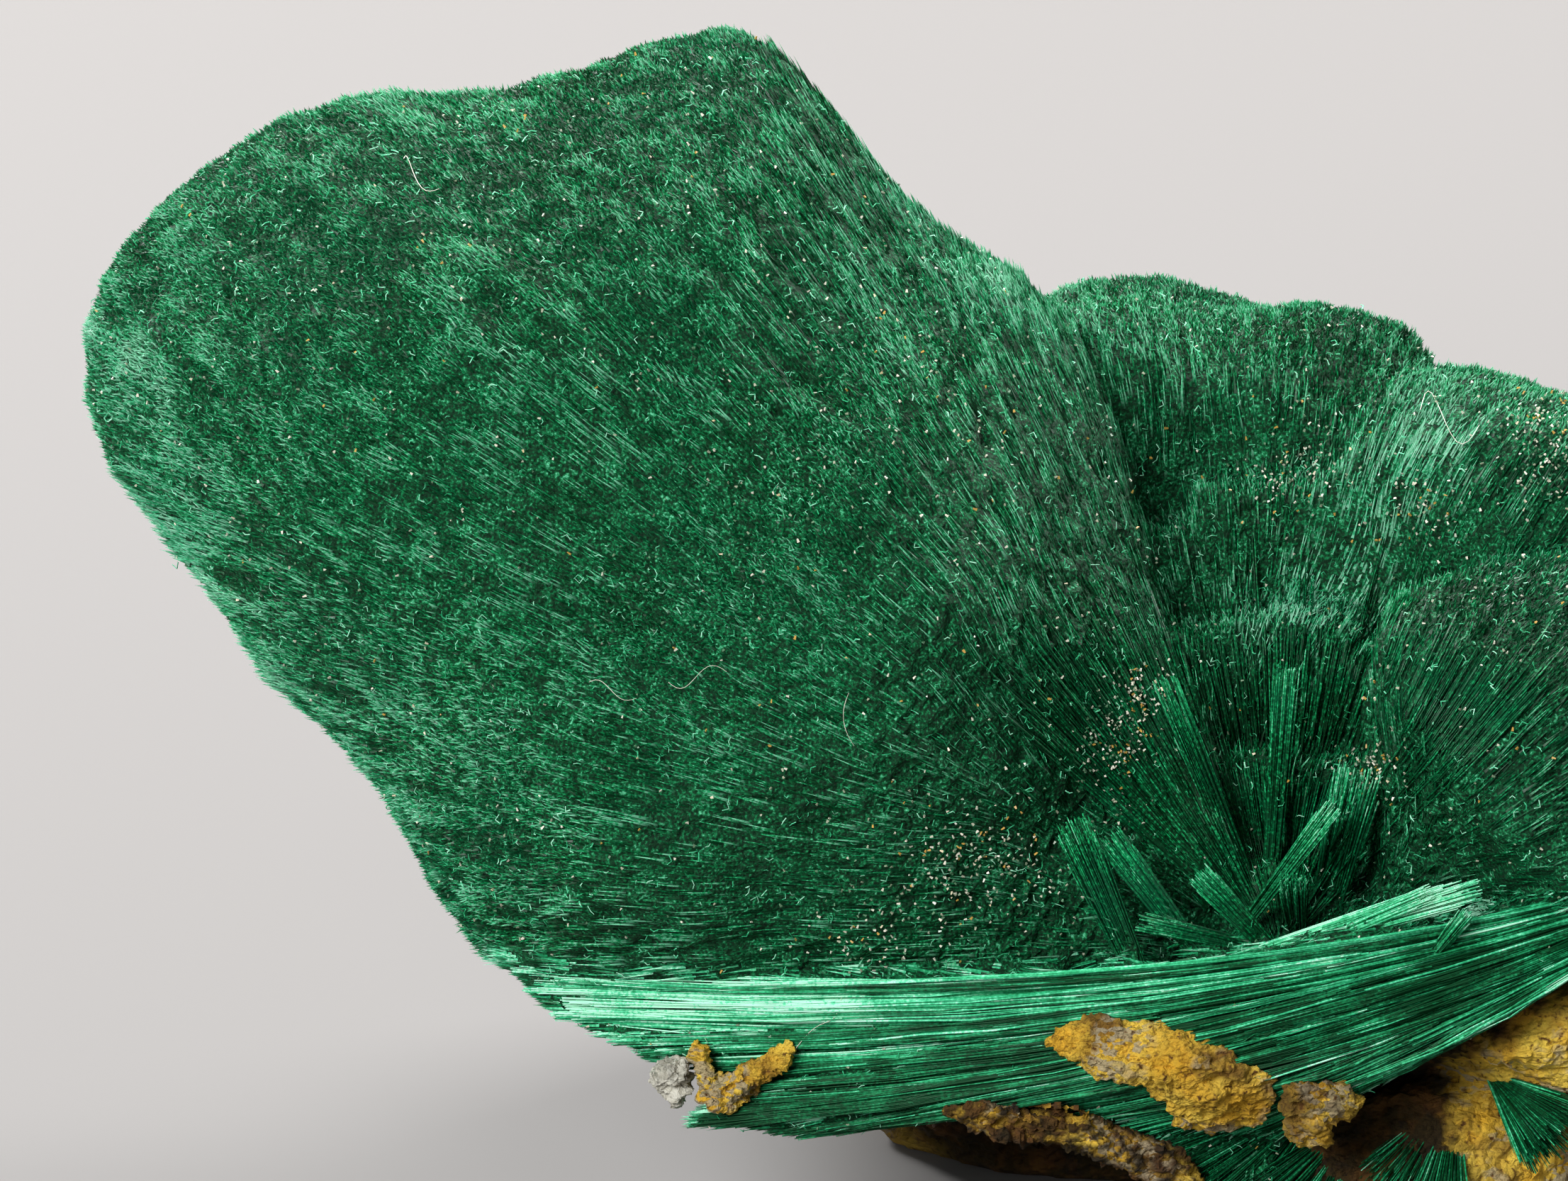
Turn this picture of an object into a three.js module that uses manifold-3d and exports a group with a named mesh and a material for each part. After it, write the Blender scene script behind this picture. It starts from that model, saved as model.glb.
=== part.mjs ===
import * as THREE from "three";
import { mergeVertices } from "three/addons/utils/BufferGeometryUtils.js";
import { SimplexNoise } from "three/addons/math/SimplexNoise.js";
import Module from "manifold-3d";

// A hand specimen of fibrous malachite. Sprays of hair-thin fibres grow out of one root and end in
// smooth velvet domes; under them lies a broken sheaf of long fibres, and all of it stands on a
// lump of yellow-brown limonite, with scabs of the same limonite left on the sheaf.
//
// Sizes are in millimetres. Everything is shaped in the viewing frame, which is how a viewer sees
// the specimen: x to the right, y away from the viewer, z up, origin at the root of the sprays.
// The viewing frame leans back by viewTilt, and the last group turns it level.

const degree = Math.PI / 180;
const viewTilt = 16 * degree;
const rootHeight = 5.5; // the sprays' root above the ground
const gap = 0.15; // left between pieces that touch
const mergeWithin = 1e-4;
const noiseSeed = 11;

const { MathUtils, Vector3 } = THREE;
const wasm = await Module();
wasm.setup();

MathUtils.seededRandom(noiseSeed);
const simplex = new SimplexNoise({ random: () => MathUtils.seededRandom() });
const wobble = (point, size) => simplex.noise3d(point.x / size, point.y / size, point.z / size);
const jitter = (index, salt) => simplex.noise(index * 1.73 + 0.4, salt * 2.31 + 0.7);
const salts = { columnHeight: 7, columnDepth: 13, fanLength: 51, fanSlant: 57, sheafTip: 61 };
const mix = MathUtils.lerp;

// Closed meshes to solids and back

function solidOf(geometry) {
  const bare = geometry.clone();
  bare.deleteAttribute("normal");
  bare.deleteAttribute("uv");
  const merged = mergeVertices(bare, mergeWithin);
  return new wasm.Manifold(
    new wasm.Mesh({
      numProp: 3,
      vertProperties: merged.attributes.position.array,
      triVerts: new Uint32Array(merged.index.array),
    })
  );
}

function geometryOf(solid) {
  const { vertProperties, triVerts, numProp } = solid.getMesh();
  const places = new Float32Array((vertProperties.length / numProp) * 3);
  for (let i = 0; i < places.length / 3; i++) {
    places.set(vertProperties.subarray(i * numProp, i * numProp + 3), i * 3);
  }
  const geometry = new THREE.BufferGeometry();
  geometry.setAttribute("position", new THREE.BufferAttribute(places, 3));
  geometry.setIndex(new THREE.BufferAttribute(triVerts, 1));
  return geometry;
}

const joined = (solids) => solids.reduce((whole, solid) => whole.add(solid));

const biggestBody = (solid) =>
  solid.decompose().reduce((a, b) => (a.volume() > b.volume() ? a : b));

function closedSolid(points, faces) {
  const geometry = new THREE.BufferGeometry().setFromPoints(points);
  geometry.setIndex(faces);
  const solid = solidOf(geometry);
  if (solid.volume() >= 0) return solid;
  geometry.setIndex(faces.reverse());
  return solidOf(geometry);
}

// A closed skin over rings of points: a first point, rings with the same number of points, and a
// last point.
function skin(first, rings, last) {
  const sides = rings[0].length;
  const points = [first, ...rings.flat(), last];
  const at = (ring, side) => 1 + ring * sides + (side % sides);
  const end = points.length - 1;
  const faces = [];
  for (let side = 0; side < sides; side++) {
    faces.push(0, at(0, side), at(0, side + 1));
    for (let ring = 0; ring + 1 < rings.length; ring++) {
      const [a, b] = [at(ring, side), at(ring, side + 1)];
      const [c, d] = [at(ring + 1, side), at(ring + 1, side + 1)];
      faces.push(a, c, b, b, c, d);
    }
    faces.push(end, at(rings.length - 1, side + 1), at(rings.length - 1, side));
  }
  return closedSolid(points, faces);
}

// A slab between a front and a back grid of points, in rows from root to tip.
function slab(front, back) {
  const [rows, columns] = [front.length, front[0].length];
  const [endRow, endColumn] = [rows - 1, columns - 1];
  const at = (side, row, column) => (side * rows + row) * columns + column;
  const faces = [];
  const quad = (a, b, c, d) => faces.push(a, b, c, a, c, d);
  for (let row = 0; row < endRow; row++) {
    for (let column = 0; column < endColumn; column++) {
      const [left, right] = [column, column + 1];
      quad(at(0, row, left), at(0, row + 1, left), at(0, row + 1, right), at(0, row, right));
      quad(at(1, row, left), at(1, row, right), at(1, row + 1, right), at(1, row + 1, left));
    }
    quad(at(0, row, 0), at(1, row, 0), at(1, row + 1, 0), at(0, row + 1, 0));
    quad(at(0, row, endColumn), at(0, row + 1, endColumn), at(1, row + 1, endColumn),
      at(1, row, endColumn));
  }
  for (let column = 0; column < endColumn; column++) {
    quad(at(0, 0, column), at(0, 0, column + 1), at(1, 0, column + 1), at(1, 0, column));
    quad(at(0, endRow, column), at(1, endRow, column), at(1, endRow, column + 1),
      at(0, endRow, column + 1));
  }
  return closedSolid([...front.flat(), ...back.flat()], faces);
}

// The main lobe: a pillow with the outline that the viewer sees, bulging to the front and back

const lobe = {
  centre: new THREE.Vector2(-10.8, 6.6),
  outline: [
    [-23.4, 10.3], [-23.2, 12.2], [-22.2, 13.6], [-20.6, 14.9], [-18.9, 15.8], [-17.6, 16.0],
    [-16.2, 15.9], [-14.4, 16.3], [-12.3, 17.0], [-11.1, 17.35], [-10.2, 17.1], [-9.3, 16.2],
    [-8.1, 14.6], [-7.2, 13.6], [-5.7, 12.7], [-4.5, 12.0], [-3.6, 10.2], [-2.6, 6.5],
    [-0.8, 2.2], [-0.6, -0.6], [-3.5, -1.8], [-8.0, -2.0], [-12.0, -2.1], [-14.6, -1.5],
    [-15.5, -0.8], [-16.8, 1.0], [-17.4, 2.2], [-18.2, 3.3], [-19.6, 4.5], [-20.6, 5.9],
    [-21.6, 7.2], [-22.7, 8.5],
  ],
  lean: 0.2, // how far the rim lies back for each millimetre up
  rimDepth: -2.0,
  frontBulge: 7.6,
  backBulge: 5.2,
  bulgePowers: [2.3, 0.6], // a higher first power flattens the middle, a lower second one the rim
  roundness: 9, // the rings near the middle turn into a circle on this radius
  sectors: 40,
  frontRings: 9,
  backRings: 4,
  swells: [
    { at: [-19.3, 9.6], height: 1.3, reach: 3.6 },
    { at: [-13.4, 12.8], height: 1.2, reach: 4.0 },
    { at: [-12.3, 6.8], height: -0.9, reach: 2.8 },
    { at: [-7.2, 6.0], height: 1.4, reach: 3.4 },
    { at: [-13.6, 1.4], height: 0.9, reach: 3.2 },
    { at: [-3.2, 1.6], height: -2.6, reach: 2.8 },
  ],
  ripple: { height: 0.35, size: 3.4, backAt: 9 },
  backRelief: 0.8, // how strong the relief is behind, next to the front
  reliefFade: 4, // the relief dies out over the outer quarter
};

function lobeDepth(x, z, share, side) {
  const isFront = side === "front";
  const rim = lobe.rimDepth + lobe.lean * z;
  const [inner, outer] = lobe.bulgePowers;
  const profile = Math.pow(1 - Math.pow(share, inner), outer);
  const bulge = isFront ? -lobe.frontBulge : lobe.backBulge;
  let relief = 0;
  for (const { at, height, reach } of lobe.swells) {
    const away = Math.hypot(x - at[0], z - at[1]) / reach;
    relief += height * Math.exp(-away * away);
  }
  const { ripple } = lobe;
  relief += ripple.height * wobble(new Vector3(x, isFront ? 0 : ripple.backAt, z), ripple.size);
  const signed = isFront ? -relief : relief * lobe.backRelief;
  return rim + bulge * profile + signed * Math.min(1, lobe.reliefFade * (1 - share));
}

function lobeSolid() {
  const flat = lobe.outline.map(([x, z]) => new Vector3(x, 0, z));
  const curve = new THREE.CatmullRomCurve3(flat, true, "centripetal");
  const edge = curve.getSpacedPoints(lobe.sectors).slice(0, -1);
  const middle = new Vector3(lobe.centre.x, 0, lobe.centre.y);
  const ringAt = (share, side) =>
    edge.map((point) => {
      const spot = point.clone().sub(middle);
      spot.setLength(share * mix(lobe.roundness, spot.length(), share)).add(middle);
      spot.y = lobeDepth(spot.x, spot.z, share, side);
      return spot;
    });
  const shares = (count) =>
    Array.from({ length: count }, (_, i) => Math.sin(((i + 1) / (count + 1)) * 90 * degree));
  const front = shares(lobe.frontRings).map((share) => ringAt(share, "front"));
  const back = shares(lobe.backRings).map((share) => ringAt(share, "back"));
  const pole = (side) => middle.clone().setY(lobeDepth(middle.x, middle.z, 0, side));
  return skin(pole("front"), [...front, ringAt(1, "front"), ...back.reverse()], pole("back"));
}

// Domes: a cone of fibres from a root to a round velvet cap. spread is the half angle of the cone
// in degrees, across and in depth.

const domes = [
  { root: [-0.6, 3.0, -0.5], tip: [-3.6, 4.4, 12.2], spread: [17, 26] },
  { root: [-0.4, 3.0, -0.5], tip: [-0.4, 4.6, 12.4], spread: [19, 26] },
  { root: [0.6, 1.0, -0.5], tip: [5.0, 0.6, 10.4], spread: [22, 24] },
  { root: [1.0, -1.2, -1.2], tip: [6.8, -6.2, 4.8], spread: [36, 30] },
  { root: [2.0, -1.0, -1.5], tip: [12.4, -2.4, 3.4], spread: [31, 32] },
  { root: [1.6, 2.2, -1.2], tip: [10.8, 6.8, 5.4], spread: [34, 33] },
  { root: [0.8, 3.4, -1.0], tip: [3.4, 11.8, 6.8], spread: [37, 33] },
  { root: [-1.6, 3.2, -1.0], tip: [-6.6, 10.6, 7.8], spread: [37, 34] },
  { root: [0.4, 1.6, -4.0], tip: [-0.4, -4.4, -0.8], spread: [40, 34] }, // floor of the hollow
];
const domeLumps = 0.06; // how uneven a cap is, as a share of the fibres' length
const lumpSize = 0.55; // on a sphere of radius 1
const capTuck = 0.15; // how much shorter the fibres are at a cap's edge
const tuckPower = 4;
const sideTaper = 0.25; // how much a dome's side draws in towards its root
const rootTail = 0.5; // how far a dome runs on past its root
const domeSectors = 16;
const capRings = 4;
const sideRings = 2;

function domeSolid({ root, tip, spread }) {
  const start = new Vector3(...root);
  const axis = new Vector3(...tip).sub(start);
  const reach = axis.length();
  axis.normalize();
  const across = new Vector3(axis.z, 0, -axis.x).normalize();
  const deep = new Vector3().crossVectors(axis, across).normalize();
  const place = (turn, lean, length) => {
    const [c, s] = [Math.cos(turn), Math.sin(turn)];
    const widest = 1 / Math.hypot(c / spread[0], s / spread[1]);
    const angle = lean * widest * degree;
    const aim = axis.clone().multiplyScalar(Math.cos(angle));
    aim.addScaledVector(across, c * Math.sin(angle)).addScaledVector(deep, s * Math.sin(angle));
    const tuck = 1 - capTuck * Math.pow(lean, tuckPower);
    const cap = tuck * (1 + domeLumps * wobble(aim, lumpSize));
    const grown = length === 1 ? cap : length * (1 - capTuck);
    return aim.multiplyScalar(reach * grown).add(start);
  };
  const ring = (lean, length) =>
    Array.from({ length: domeSectors }, (_, i) =>
      place((i / domeSectors) * 2 * Math.PI, lean, length)
    );
  const rings = [];
  for (let i = 1; i <= capRings; i++) rings.push(ring(Math.sin((i / capRings) * 90 * degree), 1));
  for (let i = 1; i <= sideRings; i++) {
    const along = i / (sideRings + 1);
    rings.push(ring(1 - sideTaper * along, 1 - along));
  }
  return skin(place(0, 0, 1), rings, start.clone().addScaledVector(axis, -rootTail));
}

// Bundles: a tapered four-sided rod of fibres, with its tip cut slanting

const slantTurn = 0.6; // where round the rod its tip is longest, in radians
const nearlyEndOn = 0.05;

function bundle({ from, to, width, flat = 0.7, slant = 0.5 }) {
  const along = to.clone().sub(from).normalize();
  const across = new Vector3(-along.z, 0, along.x);
  if (across.length() < nearlyEndOn) across.set(1, 0, 0);
  across.normalize();
  const deep = new Vector3().crossVectors(along, across).normalize();
  const rings = [];
  for (const share of [0, 1]) {
    const half = mix(width[0], width[1], share) / 2;
    const ring = [];
    for (let side = 0; side < 4; side++) {
      const turn = (side + 0.5) * 90 * degree;
      const point = from.clone().lerp(to, share);
      point.addScaledVector(across, half * Math.cos(turn));
      point.addScaledVector(deep, half * flat * Math.sin(turn));
      if (share === 1) point.addScaledVector(along, half * slant * Math.cos(turn + slantTurn));
      ring.push(point);
    }
    rings.push(ring);
  }
  return skin(from, rings, to);
}

// Stepped tiers of columns stand in the hollow between the main lobe and the right-hand domes.
// Angles are seen by the viewer, from the right-hand side round to the left. y is the depth at
// the root and at the tips.
const tiers = [
  { y: [2.6, 1.0], length: 10.7, angles: [66, 116], count: 8, thick: 1.6 },
  { y: [1.2, -1.4], length: 8.9, angles: [60, 118], count: 8, thick: 1.8 },
  { y: [0.2, -2.7], length: 6.3, angles: [56, 126], count: 7, thick: 1.6 },
  { y: [-0.6, -3.6], length: 3.7, angles: [48, 140], count: 6, thick: 1.2 },
];

const column = {
  heightVary: 0.12,
  depthVary: 0.55,
  rings: [0.1, 0.55, 1], // as shares of its height
  corners: [0.08, 0.5, 0.92], // its two edges and the ridge between them, as shares of its width
  ridge: 0.22, // how proud the ridge is, as a share of its width
  shoulder: 0.97, // how far its edges reach, next to the ridge
  bowPower: 0.7,
  foot: -0.5, // the height that columns start from
};
const rootThickness = 0.5; // of a tier or the sheaf, as a share of the thickness at its tips

// A tier is a fan of columns. Each has a ridge down its face and its own height and depth.
function tierSolid({ y, length, angles, count, thick }, tier) {
  const columns = Array.from({ length: count }, (_, i) => ({
    height: length * (1 + column.heightVary * jitter(i, tier + salts.columnHeight)),
    depth: y[1] + column.depthVary * jitter(i, tier + salts.columnDepth),
  }));
  const width = (angles[1] - angles[0]) / count;
  const ridge = column.ridge * length * width * degree;
  const grid = (back) =>
    column.rings.map((share) =>
      columns.flatMap(({ height, depth }, i) =>
        column.corners.map((across, corner) => {
          const isRidge = corner === 1;
          const angle = (angles[0] + (i + across) * width) * degree;
          const proud = back ? 0 : ridge * (isRidge ? -1 : 1) * share;
          const reach = height * share * (isRidge ? 1 : column.shoulder);
          const bow = mix(y[0], depth, Math.pow(share, column.bowPower));
          const behind = back ? thick * mix(rootThickness, 1, share) : 0;
          return new Vector3(
            Math.cos(angle) * reach,
            bow + proud + behind,
            Math.sin(angle) * reach + column.foot
          );
        })
      )
    );
  return slab(grid(false), grid(true));
}

// The broken sheaf along the bottom: long fibres that run from a root on the right out to the
// left, the upper ones level and the lower ones falling. Each guide is one fibre's way, by the
// point that bends it and its tip. The first guide is the top edge.
const sheaf = {
  root: [7.2, -6.4, 1.0],
  rootSpread: 0.9,
  rootShift: 0.5, // how far the root's lower end lies to the left, as a share of that spread
  bow: -9.4, // how far in front the middle of the sheaf stands
  guides: [
    { via: [-3.2, -1.9], tip: [-15.1, -4.3, -0.8] },
    { via: [-2.9, -2.1], tip: [-14.8, -4.3, -1.4] },
    { via: [-2.6, -2.25], tip: [-13.9, -4.6, -2.1] },
    { via: [-2.2, -2.4], tip: [-12.6, -4.9, -2.5] },
    { via: [-1.8, -2.55], tip: [-11.2, -5.3, -2.95] },
    { via: [-1.4, -2.8], tip: [-11.8, -5.9, -3.9] },
    { via: [-0.6, -3.0], tip: [-9.6, -6.1, -4.05] },
    { via: [0.6, -2.9], tip: [-7.0, -6.2, -3.55] },
    { via: [1.8, -2.6], tip: [-3.6, -6.0, -4.1] },
    { via: [3.2, -2.1], tip: [-0.4, -5.8, -4.0] },
  ],
  ridgesPerGuide: 2,
  ridge: 0.16,
  valleyShort: 0.02, // how much shorter the fibres are between the ridges, as a share
  tipVary: 0.02,
  thick: 2.8,
  steps: 6,
};

// A point of the sheaf's face: across runs over the guides from 0, share from root to tip.
function sheafPoint(across, share) {
  const first = Math.min(Math.floor(across), sheaf.guides.length - 2);
  const [a, b] = [sheaf.guides[first], sheaf.guides[first + 1]];
  const part = across - first;
  const [rootX, rootY, rootZ] = sheaf.root;
  const down = (across / (sheaf.guides.length - 1)) * sheaf.rootSpread;
  const from = new Vector3(rootX - down * sheaf.rootShift, rootY, rootZ - down);
  const via = new Vector3(
    mix(a.via[0], b.via[0], part),
    sheaf.bow,
    mix(a.via[1], b.via[1], part)
  );
  const to = new Vector3(...a.tip).lerp(new Vector3(...b.tip), part);
  return new THREE.QuadraticBezierCurve3(from, via, to).getPoint(share);
}

function sheafSolid() {
  const count = (sheaf.guides.length - 1) * sheaf.ridgesPerGuide;
  const grid = (back) =>
    Array.from({ length: sheaf.steps + 1 }, (_, step) =>
      Array.from({ length: count + 1 }, (_, i) => {
        const isRidge = i % 2 === 0;
        const short = isRidge ? 0 : sheaf.valleyShort;
        const long = 1 - short - sheaf.tipVary * Math.abs(jitter(i, salts.sheafTip));
        const share = (step / sheaf.steps) * long;
        const point = sheafPoint(i / sheaf.ridgesPerGuide, share);
        if (back) point.y += sheaf.thick * mix(rootThickness, 1, share);
        else point.y += sheaf.ridge * (isRidge ? -1 : 1);
        return point;
      })
    );
  return slab(grid(false), grid(true));
}

// How far in front the sheaf's face stands where the viewer sees the point x, z
function sheafDepth(x, z) {
  const [acrossStep, shareStep] = [0.5, 0.04];
  let [nearest, depth] = [Infinity, 0];
  for (let across = 0; across < sheaf.guides.length - 1; across += acrossStep) {
    for (let share = 0; share <= 1; share += shareStep) {
      const point = sheafPoint(across, share);
      const away = Math.hypot(point.x - x, point.z - z);
      if (away < nearest) [nearest, depth] = [away, point.y];
    }
  }
  return depth;
}

// Fans that hang under the sheaf, seen from the side
const hangingFans = [
  { root: [0.6, -4.8, -3.2], tip: [-2.3, -6.0, -5.1], spread: 16, count: 3, width: 0.8 },
  { root: [1.4, -4.6, -3.4], tip: [-0.4, -6.2, -6.1], spread: 18, count: 3, width: 0.9 },
];

// Tufts that grow on the underside of the matrix, apart from the rest of the malachite
const tufts = {
  malachite_tuft_middle: {
    root: [3.0, -4.6, -3.2], tip: [2.0, -6.2, -5.3], spread: 20, count: 3, width: 0.8,
  },
  malachite_tuft_front: {
    root: [3.5, -5.4, -2.8], tip: [4.9, -7.0, -4.1], spread: 16, count: 3, width: 0.6,
  },
};

const fanVary = 0.16;
const fanTaper = [0.8, 1.2]; // a bundle's width at its root and tip, next to the width given

function fanBundles({ root, tip, spread, count, width }, fan) {
  const from = new Vector3(...root);
  const aim = new Vector3(...tip).sub(from);
  return Array.from({ length: count }, (_, i) => {
    const turn = mix(-spread, spread, i / (count - 1)) * degree;
    const to = aim.clone().applyAxisAngle(new Vector3(0, 1, 0), turn);
    to.multiplyScalar(1 + fanVary * jitter(i, fan + salts.fanLength)).add(from);
    const widths = fanTaper.map((taper) => width * taper);
    return bundle({ from, to, width: widths, slant: jitter(i, fan + salts.fanSlant) });
  });
}

// Single laths that lie across the sheaf, then those that stand in the hollow
const laths = [
  { from: [-1.6, -6.4, -0.8], to: [3.34, -8.0, 0.73], width: 0.44 },
  { from: [-0.7, -6.6, -0.75], to: [2.4, -7.9, 0.62], width: 0.3 },
  { from: [0.8, -7.2, -0.3], to: [-1.04, -8.05, -1.92], width: 0.26 },
  { from: [2.2, -7.4, -0.9], to: [3.1, -8.1, 0.26], width: 0.24 },
  { from: [-1.3, -4.0, -0.4], to: [0.66, -5.8, 2.3], width: 0.32 },
  { from: [-2.9, -6.0, -1.4], to: [-4.4, -6.5, 2.0], width: 0.6 },
  { from: [-1.5, -6.2, -1.2], to: [-3.7, -6.3, 1.7], width: 0.48 },
  { from: [-0.1, -6.2, -1.0], to: [-2.0, -6.7, 1.0], width: 0.42 },
  { from: [-0.2, -5.4, -0.6], to: [-3.1, -7.0, 0.05], width: 0.3 },
  { from: [-0.6, -2.6, -0.4], to: [-0.25, -4.6, 4.9], width: 0.4 },
  { from: [-0.5, -2.8, -0.3], to: [-2.6, -5.2, 4.7], width: 0.4 },
  { from: [0.4, -3.2, -0.4], to: [1.15, -5.2, 2.95], width: 0.8 },
  { from: [0.0, -3.8, -0.4], to: [-0.15, -5.6, 0.92], width: 0.5 },
];

const lathShape = { taper: [1.2, 0.75], flat: 0.45, slant: 2.2 };

const lathSolid = ({ from, to, width }) =>
  bundle({
    from: new Vector3(...from),
    to: new Vector3(...to),
    width: lathShape.taper.map((taper) => width * taper),
    flat: lathShape.flat,
    slant: lathShape.slant,
  });

// Limonite: lumps with a rough skin, and scabs on the sheaf

const roughness = { coarse: 0.75, fine: 0.28, fineHeight: 0.35 }; // noise sizes on a unit sphere

function lumpSolid({ centre, radii, rough = 0.16, rings = 7, sectors = 13 }, grow = 0) {
  const middle = new Vector3(...centre);
  const reach = new Vector3(...radii).addScalar(grow);
  const place = (up, turn) => {
    const aim = new Vector3().setFromSphericalCoords(1, up, turn);
    const size = 1 + rough * wobble(aim.clone().add(middle), roughness.coarse);
    const noise = wobble(aim.clone().sub(middle), roughness.fine);
    const fine = roughness.fineHeight * rough * noise;
    return aim.multiply(reach).multiplyScalar(size + fine).add(middle);
  };
  const skins = Array.from({ length: rings - 1 }, (_, i) =>
    Array.from({ length: sectors }, (_, j) =>
      place(((i + 1) / rings) * Math.PI, (j / sectors) * 2 * Math.PI)
    )
  );
  return skin(place(0, 0), skins, place(Math.PI, 0));
}

const matrixLumps = [
  { centre: [4.6, 1.6, -3.2], radii: [7.8, 6.6, 3.6] },
  { centre: [-2.8, 5.4, -2.9], radii: [5.4, 4.8, 3.4] },
  { centre: [5.6, -3.8, -1.95], radii: [4.8, 3.4, 1.6] },
  { centre: [8.6, -1.4, -2.0], radii: [4.4, 4.4, 2.9] },
  { centre: [1.8, -1.8, -4.6], radii: [5.0, 4.0, 2.9] },
];

// Small dark pits in the face of the matrix
const matrixPits = [
  { centre: [4.02, -6.9, -2.39], radii: [0.13, 0.9, 0.11] },
  { centre: [3.8, -6.9, -2.77], radii: [0.15, 0.9, 0.1] },
  { centre: [4.94, -6.9, -2.77], radii: [0.19, 0.9, 0.17] },
  { centre: [5.2, -6.9, -2.36], radii: [0.14, 0.9, 0.13] },
  { centre: [6.4, -6.6, -1.8], radii: [0.3, 1.0, 0.22] },
];

// Scabs are thin crusts on the face of the sheaf, with outlines as the viewer sees them. Every
// point of an outline is in plain sight of its middle, which is its average unless it is given.
const scabs = {
  limonite_scab_front: {
    outline: [
      [-4.98, -2.19], [-4.54, -1.85], [-4.13, -1.68], [-3.18, -1.77], [-2.16, -1.99],
      [-1.35, -2.33], [-1.01, -2.63], [-0.5, -2.83], [-0.53, -3.21], [-0.73, -3.82],
      [-1.75, -3.92], [-2.37, -3.82], [-2.64, -3.34], [-3.18, -2.97], [-3.93, -2.87],
      [-4.47, -2.5],
    ],
    thickness: 0.6,
  },
  limonite_scab_right: {
    outline: [
      [-0.36, -3.07], [-0.12, -2.92], [0.69, -2.97], [1.2, -3.34], [0.9, -3.62], [0.59, -3.76],
      [0.49, -4.16], [-0.09, -4.23], [-0.4, -3.75],
    ],
    thickness: 0.7,
  },
  limonite_scab_left: {
    middle: [-11.2, -3.3],
    outline: [
      [-11.2, -2.85], [-10.79, -2.9], [-10.39, -2.62], [-9.74, -2.2], [-9.66, -2.35],
      [-9.77, -2.62], [-10.27, -3.14], [-10.64, -3.52], [-11.1, -3.5], [-11.4, -3.3],
      [-11.42, -2.95], [-11.5, -2.62], [-11.62, -2.28], [-11.45, -2.2], [-11.25, -2.55],
    ],
    thickness: 0.4,
  },
  clay_crumb: {
    outline: [
      [-12.3, -2.95], [-12.1, -2.7], [-11.9, -2.62], [-11.74, -2.66], [-11.64, -2.85],
      [-11.62, -3.2], [-11.84, -3.4], [-12.15, -3.2],
    ],
    thickness: 0.5,
  },
  limonite_scab_lower: {
    outline: [
      [-6.9, -3.5], [-6.2, -3.34], [-5.1, -3.36], [-4.34, -3.41], [-3.45, -3.86], [-2.57, -4.12],
      [-2.0, -4.6], [-1.45, -5.2], [-1.9, -5.5], [-2.6, -5.1], [-3.3, -4.7], [-4.6, -4.1],
      [-6.2, -3.95],
    ],
    thickness: 0.7,
  },
};
const scabLift = 0.3; // keeps a scab's back clear of the sheaf's ridges
const scabTension = 0.3; // of the curve through an outline's points
const scabRough = { height: 0.14, size: 0.6 };
const scabEdge = 0.3; // thickness at the outline, as a share
const edgePower = 4;
const scabRings = { front: [0.45, 0.8, 1], back: [0.96, 0.45] }; // as shares of the outline

function scabSolid({ outline, thickness, middle: given }) {
  const flat = outline.map(([x, z]) => new Vector3(x, 0, z));
  const average = flat.reduce((sum, point) => sum.add(point), new Vector3());
  average.divideScalar(flat.length);
  const middle = given ? new Vector3(given[0], 0, given[1]) : average;
  const corners = new THREE.CatmullRomCurve3(flat, true, "catmullrom", scabTension)
    .getPoints(outline.length)
    .slice(0, -1)
    .map((point) => point.sub(middle));
  const place = (corner, share, front) => {
    const spot = corner.clone().multiplyScalar(share).add(middle);
    const rough = front && share < 1 ? scabRough.height * wobble(spot, scabRough.size) : 0;
    const thinning = (1 - scabEdge) * Math.pow(share, edgePower);
    const proud = front ? thickness * (1 - thinning) : 0;
    spot.y = sheafDepth(spot.x, spot.z) - scabLift - proud + rough;
    return spot;
  };
  const ring = (share, front) => corners.map((corner) => place(corner, share, front));
  const pole = new Vector3();
  return skin(
    place(pole, 0, true),
    [
      ...scabRings.front.map((share) => ring(share, true)),
      ...scabRings.back.map((share) => ring(share, false)),
    ],
    place(pole, 0, false)
  );
}

// Putting it together

// Everything under the ground plane is cut away, which leaves the flat the specimen rests on.
function groundSolid() {
  const [width, depth] = [200, 40];
  const box = new THREE.BoxGeometry(width, width, depth);
  box.translate(0, 0, -rootHeight - depth / 2);
  box.rotateX(viewTilt);
  return solidOf(box);
}

const cutFrom = (whole, cutters) => cutters.reduce((left, cutter) => left.subtract(cutter), whole);
const matrixWith = (grow) => joined(matrixLumps.map((lump) => lumpSolid(lump, grow)));
const pitFaces = { rings: 4, sectors: 6 };
const pits = matrixPits.map((pit) => lumpSolid({ ...pit, ...pitFaces }));
const ground = groundSolid();

const malachite = joined([
  lobeSolid(),
  ...domes.map(domeSolid),
  ...tiers.map(tierSolid),
  sheafSolid(),
  ...hangingFans.flatMap(fanBundles),
  ...laths.map(lathSolid),
]);
const matrixSeat = matrixWith(gap);
const malachiteBody = biggestBody(cutFrom(malachite, [matrixSeat, ground]));
const matrixBody = biggestBody(cutFrom(matrixWith(0), [...pits, ground]));

const finishes = {
  malachite: new THREE.MeshStandardMaterial({ color: 0x1f7a4d, roughness: 0.5, metalness: 0 }),
  limonite: new THREE.MeshStandardMaterial({ color: 0xa8791f, roughness: 0.9, metalness: 0 }),
  clay: new THREE.MeshStandardMaterial({ color: 0xa9a594, roughness: 0.95, metalness: 0 }),
};

const specimen = new THREE.Group();

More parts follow.
